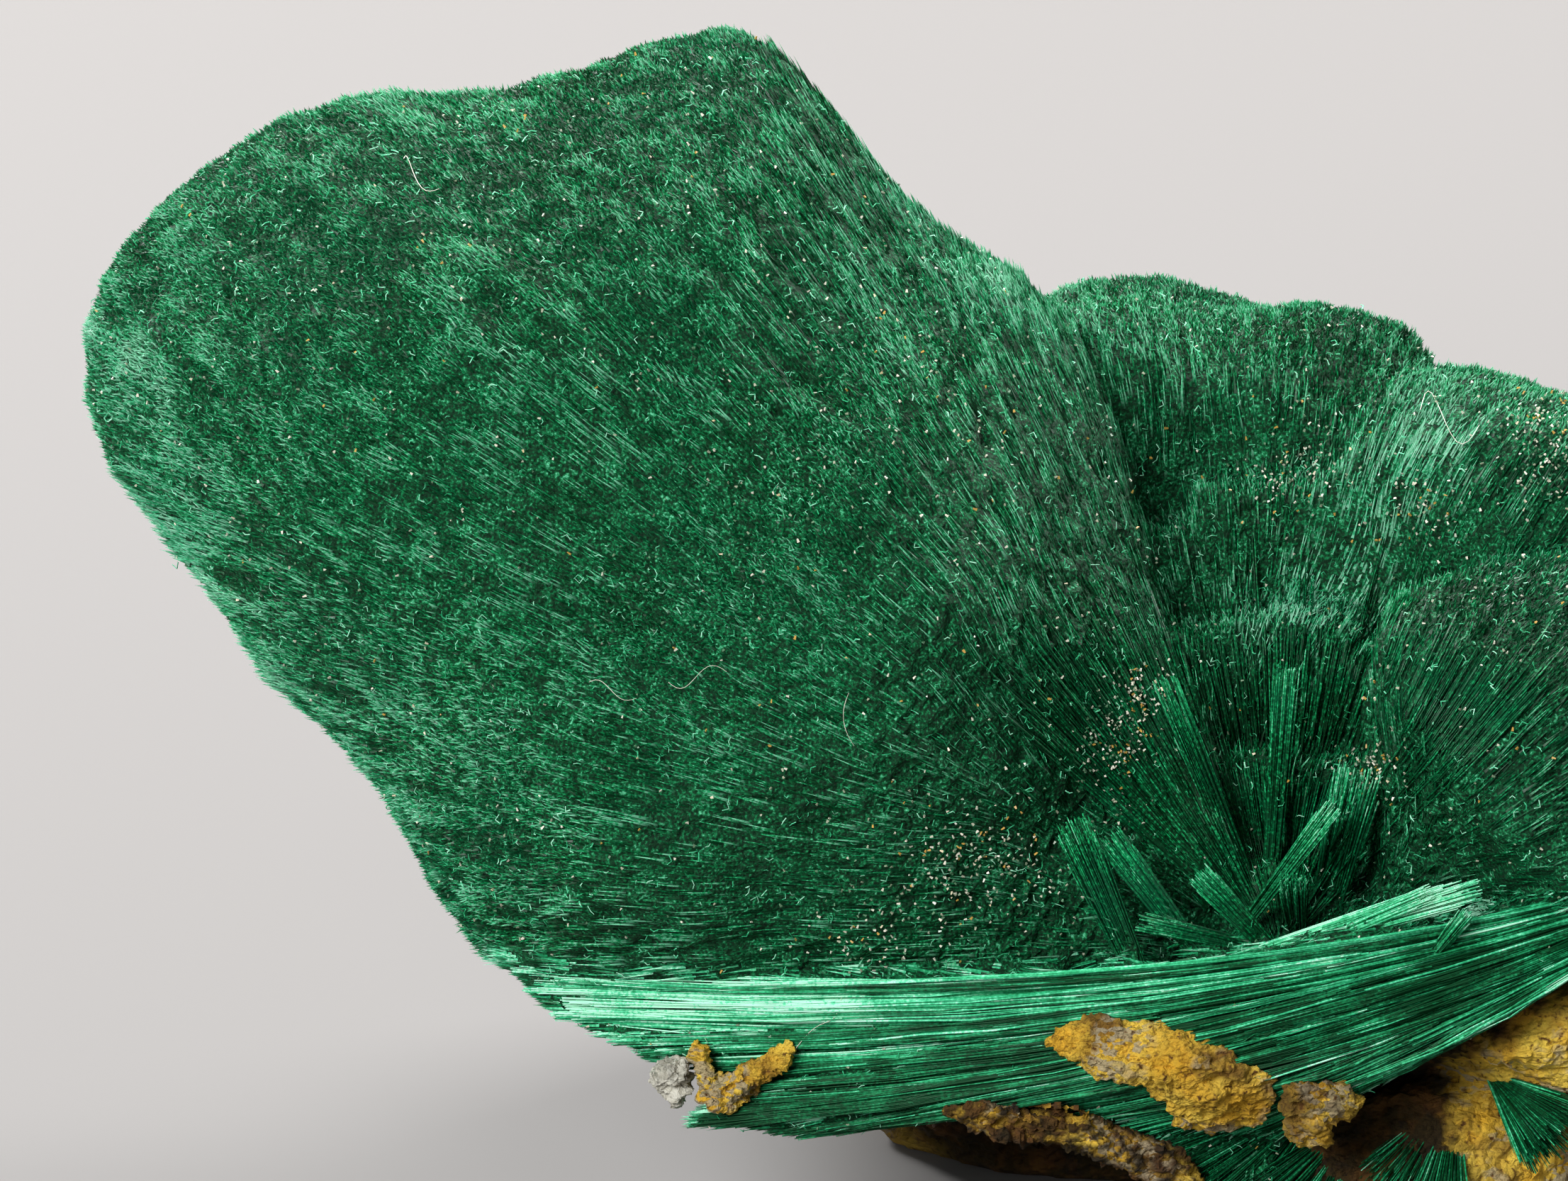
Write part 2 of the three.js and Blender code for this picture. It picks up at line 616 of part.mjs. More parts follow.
function show(name, solid, finish) {
  const mesh = new THREE.Mesh(geometryOf(solid), finish);
  mesh.name = name;
  specimen.add(mesh);
}

show("fibrous_malachite", malachiteBody, finishes.malachite);
Object.entries(tufts).forEach(([name, tuft], i) => {
  const bundles = joined(fanBundles(tuft, hangingFans.length + i));
  show(name, biggestBody(cutFrom(bundles, [matrixSeat, ground])), finishes.malachite);
});
show("limonite_matrix", matrixBody, finishes.limonite);

// The scabs keep clear of the fans that hang behind them.
const fanSeats = hangingFans.map((fan, i) =>
  joined(fanBundles({ ...fan, width: fan.width + 2 * gap }, i))
);
for (const [name, scab] of Object.entries(scabs)) {
  const finish = name === "clay_crumb" ? finishes.clay : finishes.limonite;
  show(name, biggestBody(cutFrom(scabSolid(scab), fanSeats)), finish);
}

specimen.rotation.x = -viewTilt;
specimen.updateMatrixWorld(true);
const box = new THREE.Box3().setFromObject(specimen, true);
const middle = box.getCenter(new Vector3());
specimen.position.set(-middle.x, -middle.y, -box.min.z);

export default new THREE.Group().add(specimen);
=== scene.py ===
import math

import bmesh
import bpy
import numpy as np
from mathutils import Matrix, Vector, noise
from mathutils.bvhtree import BVHTree


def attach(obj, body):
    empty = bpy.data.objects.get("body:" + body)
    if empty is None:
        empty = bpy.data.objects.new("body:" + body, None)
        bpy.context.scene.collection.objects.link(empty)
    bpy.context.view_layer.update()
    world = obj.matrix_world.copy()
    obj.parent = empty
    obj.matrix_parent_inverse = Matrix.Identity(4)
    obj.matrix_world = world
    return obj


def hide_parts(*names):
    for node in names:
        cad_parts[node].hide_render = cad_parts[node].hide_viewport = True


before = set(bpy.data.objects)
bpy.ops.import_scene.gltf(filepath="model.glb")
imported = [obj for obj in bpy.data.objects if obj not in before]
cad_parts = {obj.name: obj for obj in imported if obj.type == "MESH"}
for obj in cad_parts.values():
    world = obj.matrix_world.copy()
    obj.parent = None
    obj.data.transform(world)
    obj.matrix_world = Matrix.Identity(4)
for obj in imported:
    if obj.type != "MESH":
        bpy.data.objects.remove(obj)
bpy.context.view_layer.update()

# Shapes are made in the viewing frame, in millimetres: x to the viewer's right, y away, z up,
# with the root of the sprays at the origin. The last step of every piece takes it to the frame.
viewing = {
    "tilt": math.radians(16),          # how far the viewing frame leans back
    "root": (4.9793, -2.6030, 5.5),    # where the root of the sprays is, in CAD millimetres
    "centre": (-9.82, -3.0, 6.33),     # what the camera aims at
    "width": 30.0,                     # what the picture spans at that depth
    "distance": 400.0,
}
tiltBack = Matrix.Rotation(-viewing["tilt"], 4, "X")
viewToRow = Matrix.Scale(0.001, 4) @ Matrix.Translation(viewing["root"]) @ tiltBack
rowToView = viewToRow.inverted()
rng = np.random.default_rng(20)


# Node helpers, for shader and geometry trees alike

def addNode(tree, kind, inputs=None, **settings):
    made = tree.nodes.new(kind)
    for key, value in settings.items():
        setattr(made, key, value)
    for key, value in (inputs or {}).items():
        if isinstance(value, bpy.types.NodeSocket):
            tree.links.new(value, made.inputs[key])
        else:
            made.inputs[key].default_value = value
    return made


def maths(tree, operation, *values):
    return addNode(tree, "ShaderNodeMath", dict(enumerate(values)), operation=operation).outputs[0]


def newGroup(name, kind, inputs, outputs):
    tree = bpy.data.node_groups.new(name, kind)
    for label, (socketType, value) in inputs.items():
        socket = tree.interface.new_socket(label, in_out="INPUT", socket_type=socketType)
        if value is not None:
            socket.default_value = value
    for label, socketType in outputs.items():
        tree.interface.new_socket(label, in_out="OUTPUT", socket_type=socketType)
    return tree, tree.nodes.new("NodeGroupInput").outputs, tree.nodes.new("NodeGroupOutput").inputs


floatSocket = "NodeSocketFloat"
geometrySocket = "NodeSocketGeometry"


# Shader groups that several finishes share

def buildPatchGroup():
    tree, given, out = newGroup(
        "patches", "ShaderNodeTree",
        {"Size": (floatSocket, 3.0), "Detail": (floatSocket, 4.0), "Low": (floatSocket, 0.35),
         "High": (floatSocket, 0.65)},
        {"Mask": floatSocket},
    )
    place = addNode(tree, "ShaderNodeTexCoord").outputs["Object"]
    scale = maths(tree, "DIVIDE", 1000.0, given["Size"])
    cloud = addNode(tree, "ShaderNodeTexNoise",
                    {"Vector": place, "Scale": scale, "Detail": given["Detail"]})
    mask = addNode(tree, "ShaderNodeMapRange",
                   {"Value": cloud.outputs["Fac"], "From Min": given["Low"],
                    "From Max": given["High"]})
    tree.links.new(mask.outputs["Result"], out["Mask"])
    return tree


def buildGrainGroup():
    tree, given, out = newGroup(
        "grains", "ShaderNodeTree",
        {"Size": (floatSocket, 0.2), "Layering": (floatSocket, 1.0)},
        {"Height": floatSocket, "Cell": floatSocket},
    )
    place = addNode(tree, "ShaderNodeTexCoord").outputs["Object"]
    squeeze = addNode(tree, "ShaderNodeCombineXYZ",
                      {"X": 1.0, "Y": 1.0, "Z": given["Layering"]}).outputs[0]
    layered = addNode(tree, "ShaderNodeVectorMath", {0: place, 1: squeeze}, operation="MULTIPLY")
    scale = maths(tree, "DIVIDE", 1000.0, given["Size"])
    cells = addNode(tree, "ShaderNodeTexVoronoi", {"Vector": layered.outputs[0], "Scale": scale})
    dusty = addNode(tree, "ShaderNodeTexNoise",
                    {"Vector": layered.outputs[0], "Scale": scale, "Detail": 6.0,
                     "Roughness": 0.65})
    bumpy = maths(tree, "SUBTRACT", dusty.outputs["Fac"],
                  maths(tree, "MULTIPLY", cells.outputs["Distance"], 0.6))
    tree.links.new(bumpy, out["Height"])
    tree.links.new(addNode(tree, "ShaderNodeSeparateColor",
                           {0: cells.outputs["Color"]}).outputs[0], out["Cell"])
    return tree


patchGroup = buildPatchGroup()
grainGroup = buildGrainGroup()


# Material helpers

def newMaterial(name, constants):
    material = bpy.data.materials.new(name)
    material.use_nodes = True
    tree = material.node_tree
    shader = tree.nodes["Principled BSDF"]
    for key, value in constants.items():
        shader.inputs[key].default_value = value
    return material, tree, shader


def patches(tree, size, low=0.35, high=0.65, detail=4.0):
    made = addNode(tree, "ShaderNodeGroup", node_tree=patchGroup)
    for key, value in (("Size", size), ("Low", low), ("High", high), ("Detail", detail)):
        made.inputs[key].default_value = value
    return made.outputs["Mask"]


def grains(tree, size, layering=1.0):
    made = addNode(tree, "ShaderNodeGroup", node_tree=grainGroup)
    made.inputs["Size"].default_value = size
    made.inputs["Layering"].default_value = layering
    return made.outputs


def blendColours(tree, share, low, high):
    made = addNode(tree, "ShaderNodeMix", {0: share}, data_type="RGBA")
    for index, value in ((6, low), (7, high)):
        if isinstance(value, bpy.types.NodeSocket):
            tree.links.new(value, made.inputs[index])
        else:
            made.inputs[index].default_value = (*value, 1.0)
    return made.outputs[2]


def ramp(tree, value, stops):
    made = addNode(tree, "ShaderNodeValToRGB", {0: value})
    elements = made.color_ramp.elements
    for place, colour in stops[1:-1]:
        elements.new(place).color = (*colour, 1.0)
    elements[0].position = stops[0][0]
    elements[0].color = (*stops[0][1], 1.0)
    elements[-1].position = stops[-1][0]
    elements[-1].color = (*stops[-1][1], 1.0)
    return made.outputs[0]


def attribute(tree, name):
    return addNode(tree, "ShaderNodeAttribute", attribute_name=name).outputs["Fac"]


# A value that patches of some sizes raise and lower
def cloudy(tree, value, clouds):
    for size, amount in clouds:
        cloud = maths(tree, "SUBTRACT", patches(tree, size), 0.5)
        value = maths(tree, "MULTIPLY_ADD", cloud, amount, value)
    return value


def roughen(tree, shader, size, low, high):
    rough = addNode(tree, "ShaderNodeMapRange",
                    {"Value": patches(tree, size), "To Min": low, "To Max": high})
    tree.links.new(rough.outputs["Result"], shader.inputs["Roughness"])


def emboss(tree, shader, height, depth, strength):
    bump = addNode(tree, "ShaderNodeBump",
                   {"Height": height, "Distance": depth, "Strength": strength})
    tree.links.new(bump.outputs[0], shader.inputs["Normal"])


fibreFinish = {
    "velvet": [(0.0, (0.000, 0.022, 0.005)), (0.3, (0.001, 0.110, 0.029)),
               (0.7, (0.008, 0.420, 0.128)), (0.92, (0.050, 0.640, 0.270)),
               (1.0, (0.260, 0.820, 0.500))],
    # fibres seen from the side: their own lighter green, and towards the top of the ramp painted sheen
    "silk": [(0.0, (0.002, 0.050, 0.015)), (0.3, (0.008, 0.200, 0.070)),
             (0.65, (0.035, 0.480, 0.210)), (0.9, (0.150, 0.780, 0.440)),
             (1.0, (0.460, 0.940, 0.680))],
    # painted shade: a needle is coloured darker towards its root, where the needles stand close
    "paintedRootShade": (0.001, 0.026, 0.007),
    "rootFade": 0.8,
    "blueTint": (0.001, 0.170, 0.075),
    "blueSize": 2.6,
    "blueShare": 0.3,
    "grain": (0.065, 0.32, 0.68, 2.0),   # size in millimetres, low, high, detail
    "velvetGrain": 1.05,
    "silkGrain": 0.35,
    # patches along the silky fibres: painted glints, and their own tone that varies
    "silkGlintsAndTone": ((0.7, 0.3), (2.2, 0.25)),
    "rough": (0.5, 0.32, 0.55),          # size of its patches, low, high
}


def buildFibreMaterial():
    material, tree, shader = newMaterial("malachiteFibre", {
        "Specular IOR Level": 0.13, "Sheen Weight": 0.03, "Sheen Roughness": 0.35,
        "Sheen Tint": (0.30, 1.0, 0.50, 1.0), "IOR": 1.65,
    })
    shade, silk = attribute(tree, "shade"), attribute(tree, "silk")
    grainy = maths(tree, "SUBTRACT", patches(tree, *fibreFinish["grain"]), 0.5)
    mottled = maths(tree, "MULTIPLY_ADD", grainy, fibreFinish["velvetGrain"], shade)
    velvetColour = ramp(tree, mottled, fibreFinish["velvet"])
    tinted = maths(tree, "MULTIPLY", patches(tree, fibreFinish["blueSize"]),
                   fibreFinish["blueShare"])
    velvetColour = blendColours(tree, tinted, velvetColour, fibreFinish["blueTint"])
    glossy = cloudy(tree, shade, fibreFinish["silkGlintsAndTone"])
    glossy = maths(tree, "MULTIPLY_ADD", grainy, fibreFinish["silkGrain"], glossy)
    colour = blendColours(tree, silk, velvetColour, ramp(tree, glossy, fibreFinish["silk"]))
    # Painted shade towards each needle's root; silky fibres are spared
    lit = maths(tree, "POWER", attribute(tree, "along"), fibreFinish["rootFade"])
    lit = maths(tree, "MAXIMUM", lit, silk)
    colour = blendColours(tree, lit, fibreFinish["paintedRootShade"], colour)
    tree.links.new(colour, shader.inputs["Base Color"])
    roughen(tree, shader, *fibreFinish["rough"])
    return material


coreFinish = {
    # painted shade: the core between the needles is coloured much darker than they are, for the shade
    # between them
    "shadedFibreEnds": [(0.0, (0.0, 0.006, 0.002)), (0.5, (0.001, 0.045, 0.014)),
                  (0.8, (0.005, 0.190, 0.062)), (1.0, (0.120, 0.560, 0.310))],
    "ends": (0.06, 0.3, 0.7, 2.0),   # size in millimetres, low, high, detail
    "endShare": 0.75,
    "broad": (0.4, 0.3),             # size and share of the broader patches
    "rough": (0.3, 0.55, 0.8),
    "grain": 0.1,
}


def buildCoreMaterial():
    material, tree, shader = newMaterial("malachiteCore", {"Specular IOR Level": 0.2})
    ends = maths(tree, "MULTIPLY", patches(tree, *coreFinish["ends"]), coreFinish["endShare"])
    size, share = coreFinish["broad"]
    ends = maths(tree, "MULTIPLY_ADD", patches(tree, size), share, ends)
    colour = ramp(tree, ends, coreFinish["shadedFibreEnds"])
    tree.links.new(colour, shader.inputs["Base Color"])
    roughen(tree, shader, *coreFinish["rough"])
    emboss(tree, shader, grains(tree, coreFinish["grain"])["Height"], 0.0001, 0.8)
    return material


limoniteFinish = {
    "ochre": (0.840, 0.470, 0.034),
    "bright": (0.960, 0.670, 0.090),
    "brown": (0.150, 0.062, 0.013),
    "crust": (0.480, 0.410, 0.270),
    "shadedBlack": (0.012, 0.007, 0.003),   # painted shadow on the matrix's side under the sprays, and the scabs' darker crumbs
    "shadedRust": (0.100, 0.040, 0.009),
    "grain": (0.16, 1.6),               # size in millimetres, layering
    "brightSize": 0.8,
    "brownPatches": (1.4, 0.5, 0.66),   # size, low, high
    "crustPatches": (1.5, 0.5, 0.57),
    "crustCells": 0.4,                  # the share of grains in them that have no crust
    "most": 0.85,                       # how far brown and crust cover the ochre
    "pores": (0.14, 0.28, 0.42, 2.0),
    "shadeAndStainPatches": (0.6, 0.45, 0.62),
    "rough": (0.4, 0.7, 0.95),
}


def buildLimoniteMaterial():
    material, tree, shader = newMaterial("limonite", {"Specular IOR Level": 0.25})
    look = limoniteFinish
    base = blendColours(tree, patches(tree, look["brightSize"]), look["ochre"], look["bright"])
    fine = grains(tree, *look["grain"])
    brown = maths(tree, "MULTIPLY", patches(tree, *look["brownPatches"]), look["most"])
    base = blendColours(tree, brown, base, look["brown"])
    speck = maths(tree, "MULTIPLY", patches(tree, *look["crustPatches"]),
                  maths(tree, "GREATER_THAN", fine["Cell"], look["crustCells"]))
    base = blendColours(tree, maths(tree, "MULTIPLY", speck, look["most"]), base, look["crust"])
    base = blendColours(tree, patches(tree, *look["pores"]), look["brown"], base)
    # Painted shadow and stain: a near black and dark rust mix, laid where the attribute marks, most of
    # all on the matrix's side under the sprays
    dark = blendColours(tree, patches(tree, *look["shadeAndStainPatches"]), look["shadedBlack"], look["shadedRust"])
    base = blendColours(tree, attribute(tree, "shadeAndStain"), base, dark)
    tree.links.new(base, shader.inputs["Base Color"])
    roughen(tree, shader, *look["rough"])
    emboss(tree, shader, fine["Height"], 0.0002, 1.0)
    return material


clayFinish = {
    "pale": (0.560, 0.540, 0.450),
    "dark": (0.170, 0.160, 0.120),
    "white": (0.75, 0.74, 0.66),
    "whiteShare": 0.4,
    "patches": 0.3,
    "grain": 0.12,
}


def buildClayMaterial():
    material, tree, shader = newMaterial("clay", {"Specular IOR Level": 0.3, "Roughness": 0.9})
    fine = grains(tree, clayFinish["grain"])
    base = blendColours(tree, patches(tree, clayFinish["patches"]), clayFinish["dark"],
                        clayFinish["pale"])
    base = blendColours(tree, maths(tree, "MULTIPLY", fine["Cell"], clayFinish["whiteShare"]),
                        base, clayFinish["white"])
    tree.links.new(base, shader.inputs["Base Color"])
    emboss(tree, shader, fine["Height"], 0.0001, 0.9)
    return material


dustFinish = [   # from greenish through pale grey to ochre
    (0.0, (0.10, 0.22, 0.12)), (0.3, (0.36, 0.38, 0.27)), (0.8, (0.80, 0.76, 0.64)),
    (0.97, (0.70, 0.60, 0.40)), (1.0, (0.55, 0.32, 0.07)),
]


def buildDustMaterial():
    material, tree, shader = newMaterial("dust", {"Specular IOR Level": 0.7, "Roughness": 0.3})
    colour = ramp(tree, attribute(tree, "shade"), dustFinish)
    tree.links.new(colour, shader.inputs["Base Color"])
    return material


fibreMaterial = buildFibreMaterial()
coreMaterial = buildCoreMaterial()
limoniteMaterial = buildLimoniteMaterial()
clayMaterial = buildClayMaterial()
dustMaterial = buildDustMaterial()
print("materials made")


# Geometry trees: needles that stand on a surface, and strands that follow paths

needleForm = {
    "bunchScale": 11.0,         # a bunch is as wide as "Clump Size" at this distance from its root
    "girths": (0.75, 1.25),
    "loosest": 0.6,             # what counts at most of a needle's stray in its tone
    "contrast": (4.6, -2.0),    # between bunches, and what looseness adds to it
    "ownTone": 0.4,             # how much single needles differ on a flank
    "clouds": ((0.45, 1.5), (4.0, 0.9)),   # noise scale and amount of broad and small patches
}

def buildNeedleTree():
    tree, given, out = newGroup(
        "needles", "GeometryNodeTree",
        {"Geometry": (geometrySocket, None), "Zone": ("NodeSocketInt", 0),
         "Spacing": (floatSocket, 0.08), "Density": (floatSocket, 300.0),
         "Jitter": (floatSocket, 1.0), "Vary": (floatSocket, 0.35),
         "Clump": (floatSocket, 1.1), "Clump Size": (floatSocket, 0.2),
         "Tip": (floatSocket, 0.0), "Seed": ("NodeSocketInt", 1),
         "Material": ("NodeSocketMaterial", None)},
        {"Geometry": geometrySocket},
    )

    def named(label, kind="FLOAT"):
        found = addNode(tree, "GeometryNodeInputNamedAttribute", {"Name": label}, data_type=kind)
        return found.outputs["Attribute"]

    def randomly(low, high, salt):
        seed = maths(tree, "ADD", given["Seed"], salt)
        made = addNode(tree, "FunctionNodeRandomValue", {2: low, 3: high, "Seed": seed},
                       data_type="FLOAT")
        return made.outputs[1]

    chosen = addNode(tree, "FunctionNodeCompare", {2: named("zone", "INT"), 3: given["Zone"]},
                     data_type="INT", operation="EQUAL").outputs[0]
    spread = addNode(tree, "GeometryNodeDistributePointsOnFaces",
                     {"Mesh": given["Geometry"], "Selection": chosen,
                      "Distance Min": given["Spacing"], "Density Max": given["Density"],
                      "Density Factor": named("cover"), "Seed": given["Seed"]},
                     distribute_method="POISSON")
    # Fibres that point the same way belong to one bunch, so bunches become columns on a flank
    place = addNode(tree, "GeometryNodeInputPosition").outputs[0]
    cloud = addNode(tree, "ShaderNodeTexNoise",
                    {"Vector": named("aim", "FLOAT_VECTOR"), "Detail": 3.0,
                     "Scale": maths(tree, "DIVIDE", needleForm["bunchScale"],
                                    given["Clump Size"])}).outputs["Fac"]
    clump = maths(tree, "MULTIPLY_ADD", maths(tree, "SUBTRACT", cloud, 0.5),
                  maths(tree, "MULTIPLY", given["Clump"], 2.0), 1.0)
    long = maths(tree, "MULTIPLY", maths(tree, "MULTIPLY", named("reach"), clump),
                 randomly(maths(tree, "SUBTRACT", 1.0, given["Vary"]), 1.0, 3))
    wide = maths(tree, "MULTIPLY", named("girth"), randomly(*needleForm["girths"], 5))
    size = addNode(tree, "ShaderNodeCombineXYZ", {"X": wide, "Y": wide, "Z": long}).outputs[0]
    stray = addNode(tree, "FunctionNodeRandomValue",
                    {0: (-1.0, -1.0, -1.0), 1: (1.0, 1.0, 1.0),
                     "Seed": maths(tree, "ADD", given["Seed"], 7)}, data_type="FLOAT_VECTOR")
    stray = addNode(tree, "ShaderNodeVectorMath",
                    {0: stray.outputs[0],
                     "Scale": maths(tree, "MULTIPLY", given["Jitter"], named("stray"))},
                    operation="SCALE")
    aim = addNode(tree, "ShaderNodeVectorMath",
                  {0: named("aim", "FLOAT_VECTOR"), 1: stray.outputs[0]}, operation="ADD")
    turned = addNode(tree, "FunctionNodeAlignRotationToVector", {"Vector": aim.outputs[0]},
                     axis="Z").outputs[0]
    spin = addNode(tree, "FunctionNodeAxisAngleToRotation",
                   {"Axis": (0.0, 0.0, 1.0), "Angle": randomly(0.0, 6.283, 11)}).outputs[0]
    turned = addNode(tree, "FunctionNodeRotateRotation",
                     {"Rotation": turned, "Rotate By": spin}, rotation_space="LOCAL").outputs[0]
    needle = addNode(tree, "GeometryNodeMeshCone",
                     {"Vertices": 3, "Radius Top": given["Tip"], "Radius Bottom": 1.0,
                      "Depth": 1.0}, fill_type="NGON").outputs["Mesh"]
    height = addNode(tree, "ShaderNodeSeparateXYZ", {0: place}).outputs["Z"]
    needle = addNode(tree, "GeometryNodeStoreNamedAttribute",
                     {"Geometry": needle, "Name": "along", "Value": height},
                     data_type="FLOAT", domain="POINT").outputs[0]
    field = addNode(tree, "GeometryNodeInstanceOnPoints",
                    {"Points": spread.outputs["Points"], "Instance": needle, "Rotation": turned,
                     "Scale": size}).outputs[0]
    # Fibres of a flank share their bunch's tone, those of a cap differ more
    loose = maths(tree, "MINIMUM", named("stray"), needleForm["loosest"])
    bunched, loosened = needleForm["contrast"]
    contrast = maths(tree, "MULTIPLY_ADD", loose, loosened, bunched)
    tone = maths(tree, "MULTIPLY_ADD", maths(tree, "SUBTRACT", cloud, 0.5), contrast, 0.5)
    tone = maths(tree, "MULTIPLY_ADD", randomly(-0.5, 0.5, 13),
                 maths(tree, "ADD", loose, needleForm["ownTone"]), tone)
    for scale, amount in needleForm["clouds"]:
        patch = addNode(tree, "ShaderNodeTexNoise",
                        {"Vector": place, "Detail": 2.0, "Scale": scale}).outputs["Fac"]
        tone = maths(tree, "MULTIPLY_ADD", maths(tree, "SUBTRACT", patch, 0.5), amount, tone)
    # The surface's tone holds painted light and shade as well as its bunch's tone
    tone = maths(tree, "ADD", tone, named("tone"))
    tone = addNode(tree, "ShaderNodeClamp", {0: tone}).outputs[0]
    field = addNode(tree, "GeometryNodeStoreNamedAttribute",
                    {"Geometry": field, "Name": "shade", "Value": tone},
                    data_type="FLOAT", domain="INSTANCE").outputs[0]
    field = addNode(tree, "GeometryNodeRealizeInstances", {0: field}).outputs[0]
    field = addNode(tree, "GeometryNodeSetMaterial",
                    {"Geometry": field, "Material": given["Material"]}).outputs[0]
    tree.links.new(field, out["Geometry"])
    return tree


def buildStrandTree():
    tree, given, out = newGroup(
        "strands", "GeometryNodeTree",
        {"Geometry": (geometrySocket, None), "Sides": ("NodeSocketInt", 3),
         "Material": ("NodeSocketMaterial", None)},
        {"Geometry": geometrySocket},
    )
    girth = addNode(tree, "GeometryNodeInputNamedAttribute", {"Name": "girth"}, data_type="FLOAT")
    curve = addNode(tree, "GeometryNodeMeshToCurve", {"Mesh": given["Geometry"]}).outputs[0]
    section = addNode(tree, "GeometryNodeCurvePrimitiveCircle",
                      {"Resolution": given["Sides"], "Radius": 1.0}).outputs[0]
    rods = addNode(tree, "GeometryNodeCurveToMesh",
                   {"Curve": curve, "Profile Curve": section, "Fill Caps": True,
                    "Scale": girth.outputs["Attribute"]}).outputs[0]
    rods = addNode(tree, "GeometryNodeSetShadeSmooth",
                   {"Geometry": rods, "Shade Smooth": True}).outputs[0]
    rods = addNode(tree, "GeometryNodeRealizeInstances", {0: rods}).outputs[0]
    rods = addNode(tree, "GeometryNodeSetMaterial",
                   {"Geometry": rods, "Material": given["Material"]}).outputs[0]
    tree.links.new(rods, out["Geometry"])
    return tree


needleTree = buildNeedleTree()
strandTree = buildStrandTree()


# Meshes

def runModifier(mesh, add):
    carrier = bpy.data.objects.new("carrier", mesh)
    bpy.context.scene.collection.objects.link(carrier)
    add(carrier)
    graph = bpy.context.evaluated_depsgraph_get()
    made = bpy.data.meshes.new_from_object(carrier.evaluated_get(graph))
    carrier.modifiers.clear()
    bpy.data.objects.remove(carrier)
    return made


def runTree(mesh, tree, values):
    def add(carrier):
        modifier = carrier.modifiers.new(tree.name, "NODES")
        modifier.node_group = tree
        for item in tree.interface.items_tree:
            if item.in_out == "INPUT" and item.name in values:
                modifier[item.identifier] = values[item.name]
    return runModifier(mesh, add)


def voxelSkin(mesh, size):
    def add(carrier):
        modifier = carrier.modifiers.new("skin", "REMESH")
        modifier.mode = "VOXEL"
        modifier.voxel_size = size
    return runModifier(mesh, add)


def copyNode(name):
    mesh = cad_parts[name].data.copy()
    mesh.materials.clear()
    mesh.transform(rowToView)
    work = bmesh.new()
    work.from_mesh(mesh)
    bmesh.ops.remove_doubles(work, verts=work.verts, dist=1e-4)
    work.to_mesh(mesh)
    work.free()
    return mesh


def readPoints(mesh, key="co"):
    values = np.empty(len(mesh.vertices) * 3, np.float32)
    if key == "co":
        mesh.vertices.foreach_get("co", values)
    else:
        mesh.vertex_normals.foreach_get("vector", values)
    return values.reshape(-1, 3).astype(float)


def surfaceTree(mesh):
    return BVHTree.FromPolygons([v.co.copy() for v in mesh.vertices],
                                [tuple(p.vertices) for p in mesh.polygons])


def writePoints(mesh, points):
    mesh.vertices.foreach_set("co", points.astype(np.float32).ravel())
    mesh.update()


def readEdges(mesh):
    values = np.empty(len(mesh.edges) * 2, np.int32)
    mesh.edges.foreach_get("vertices", values)
    return values.reshape(-1, 2)


def relax(points, edges, amount, rounds, giveBack=0.0):
    count = len(points)
    ends = np.concatenate([edges[:, 0], edges[:, 1]])
    others = np.concatenate([edges[:, 1], edges[:, 0]])
    valence = np.maximum(np.bincount(ends, minlength=count), 1)[:, None]
    for turn in range(rounds * (2 if giveBack else 1)):
        total = np.stack([np.bincount(ends, points[others, i], count) for i in range(3)], 1)
        factor = -giveBack if giveBack and turn % 2 else 1.0
        points = points + (total / valence - points) * amount[:, None] * factor
    return points


def keepBiggest(mesh):
    edges = readEdges(mesh)
    label = np.arange(len(mesh.vertices))
    while True:
        low = np.minimum(label[edges[:, 0]], label[edges[:, 1]])
        fresh = label.copy()
        np.minimum.at(fresh, edges[:, 0], low)
        np.minimum.at(fresh, edges[:, 1], low)
        fresh = fresh[fresh]
        if (fresh == label).all():
            break
        label = fresh
    biggest = np.bincount(label).argmax()
    work = bmesh.new()
    work.from_mesh(mesh)
    work.verts.ensure_lookup_table()
    loose = [work.verts[i] for i in np.nonzero(label != biggest)[0]]
    bmesh.ops.delete(work, geom=loose, context="VERTS")
    work.to_mesh(mesh)
    work.free()
    return mesh


def storeField(mesh, name, values, kind="FLOAT", domain="POINT"):
    field = mesh.attributes.new(name, kind, domain)
    key = "vector" if kind == "FLOAT_VECTOR" else "value"
    field.data.foreach_set(key, np.ascontiguousarray(values, np.float32 if kind != "INT"
                                                     else np.int32).ravel())


def addPiece(name, mesh, node, material=None):
    for field in ("aim", "reach", "cover", "girth", "zone", "stray", "tone"):
        if field in mesh.attributes:
            mesh.attributes.remove(mesh.attributes[field])
    if material:
        mesh.materials.clear()
        mesh.materials.append(material)
    mesh.transform(viewToRow)
    mesh.name = name
    piece = bpy.data.objects.new(name, mesh)
    bpy.context.scene.collection.objects.link(piece)
    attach(piece, "root")
    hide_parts(node)
    mesh.calc_loop_triangles()
    print(f"{name}: {len(mesh.loop_triangles)} triangles")
    return piece


def unit(vectors):
    return vectors / np.maximum(np.linalg.norm(vectors, axis=-1, keepdims=True), 1e-9)


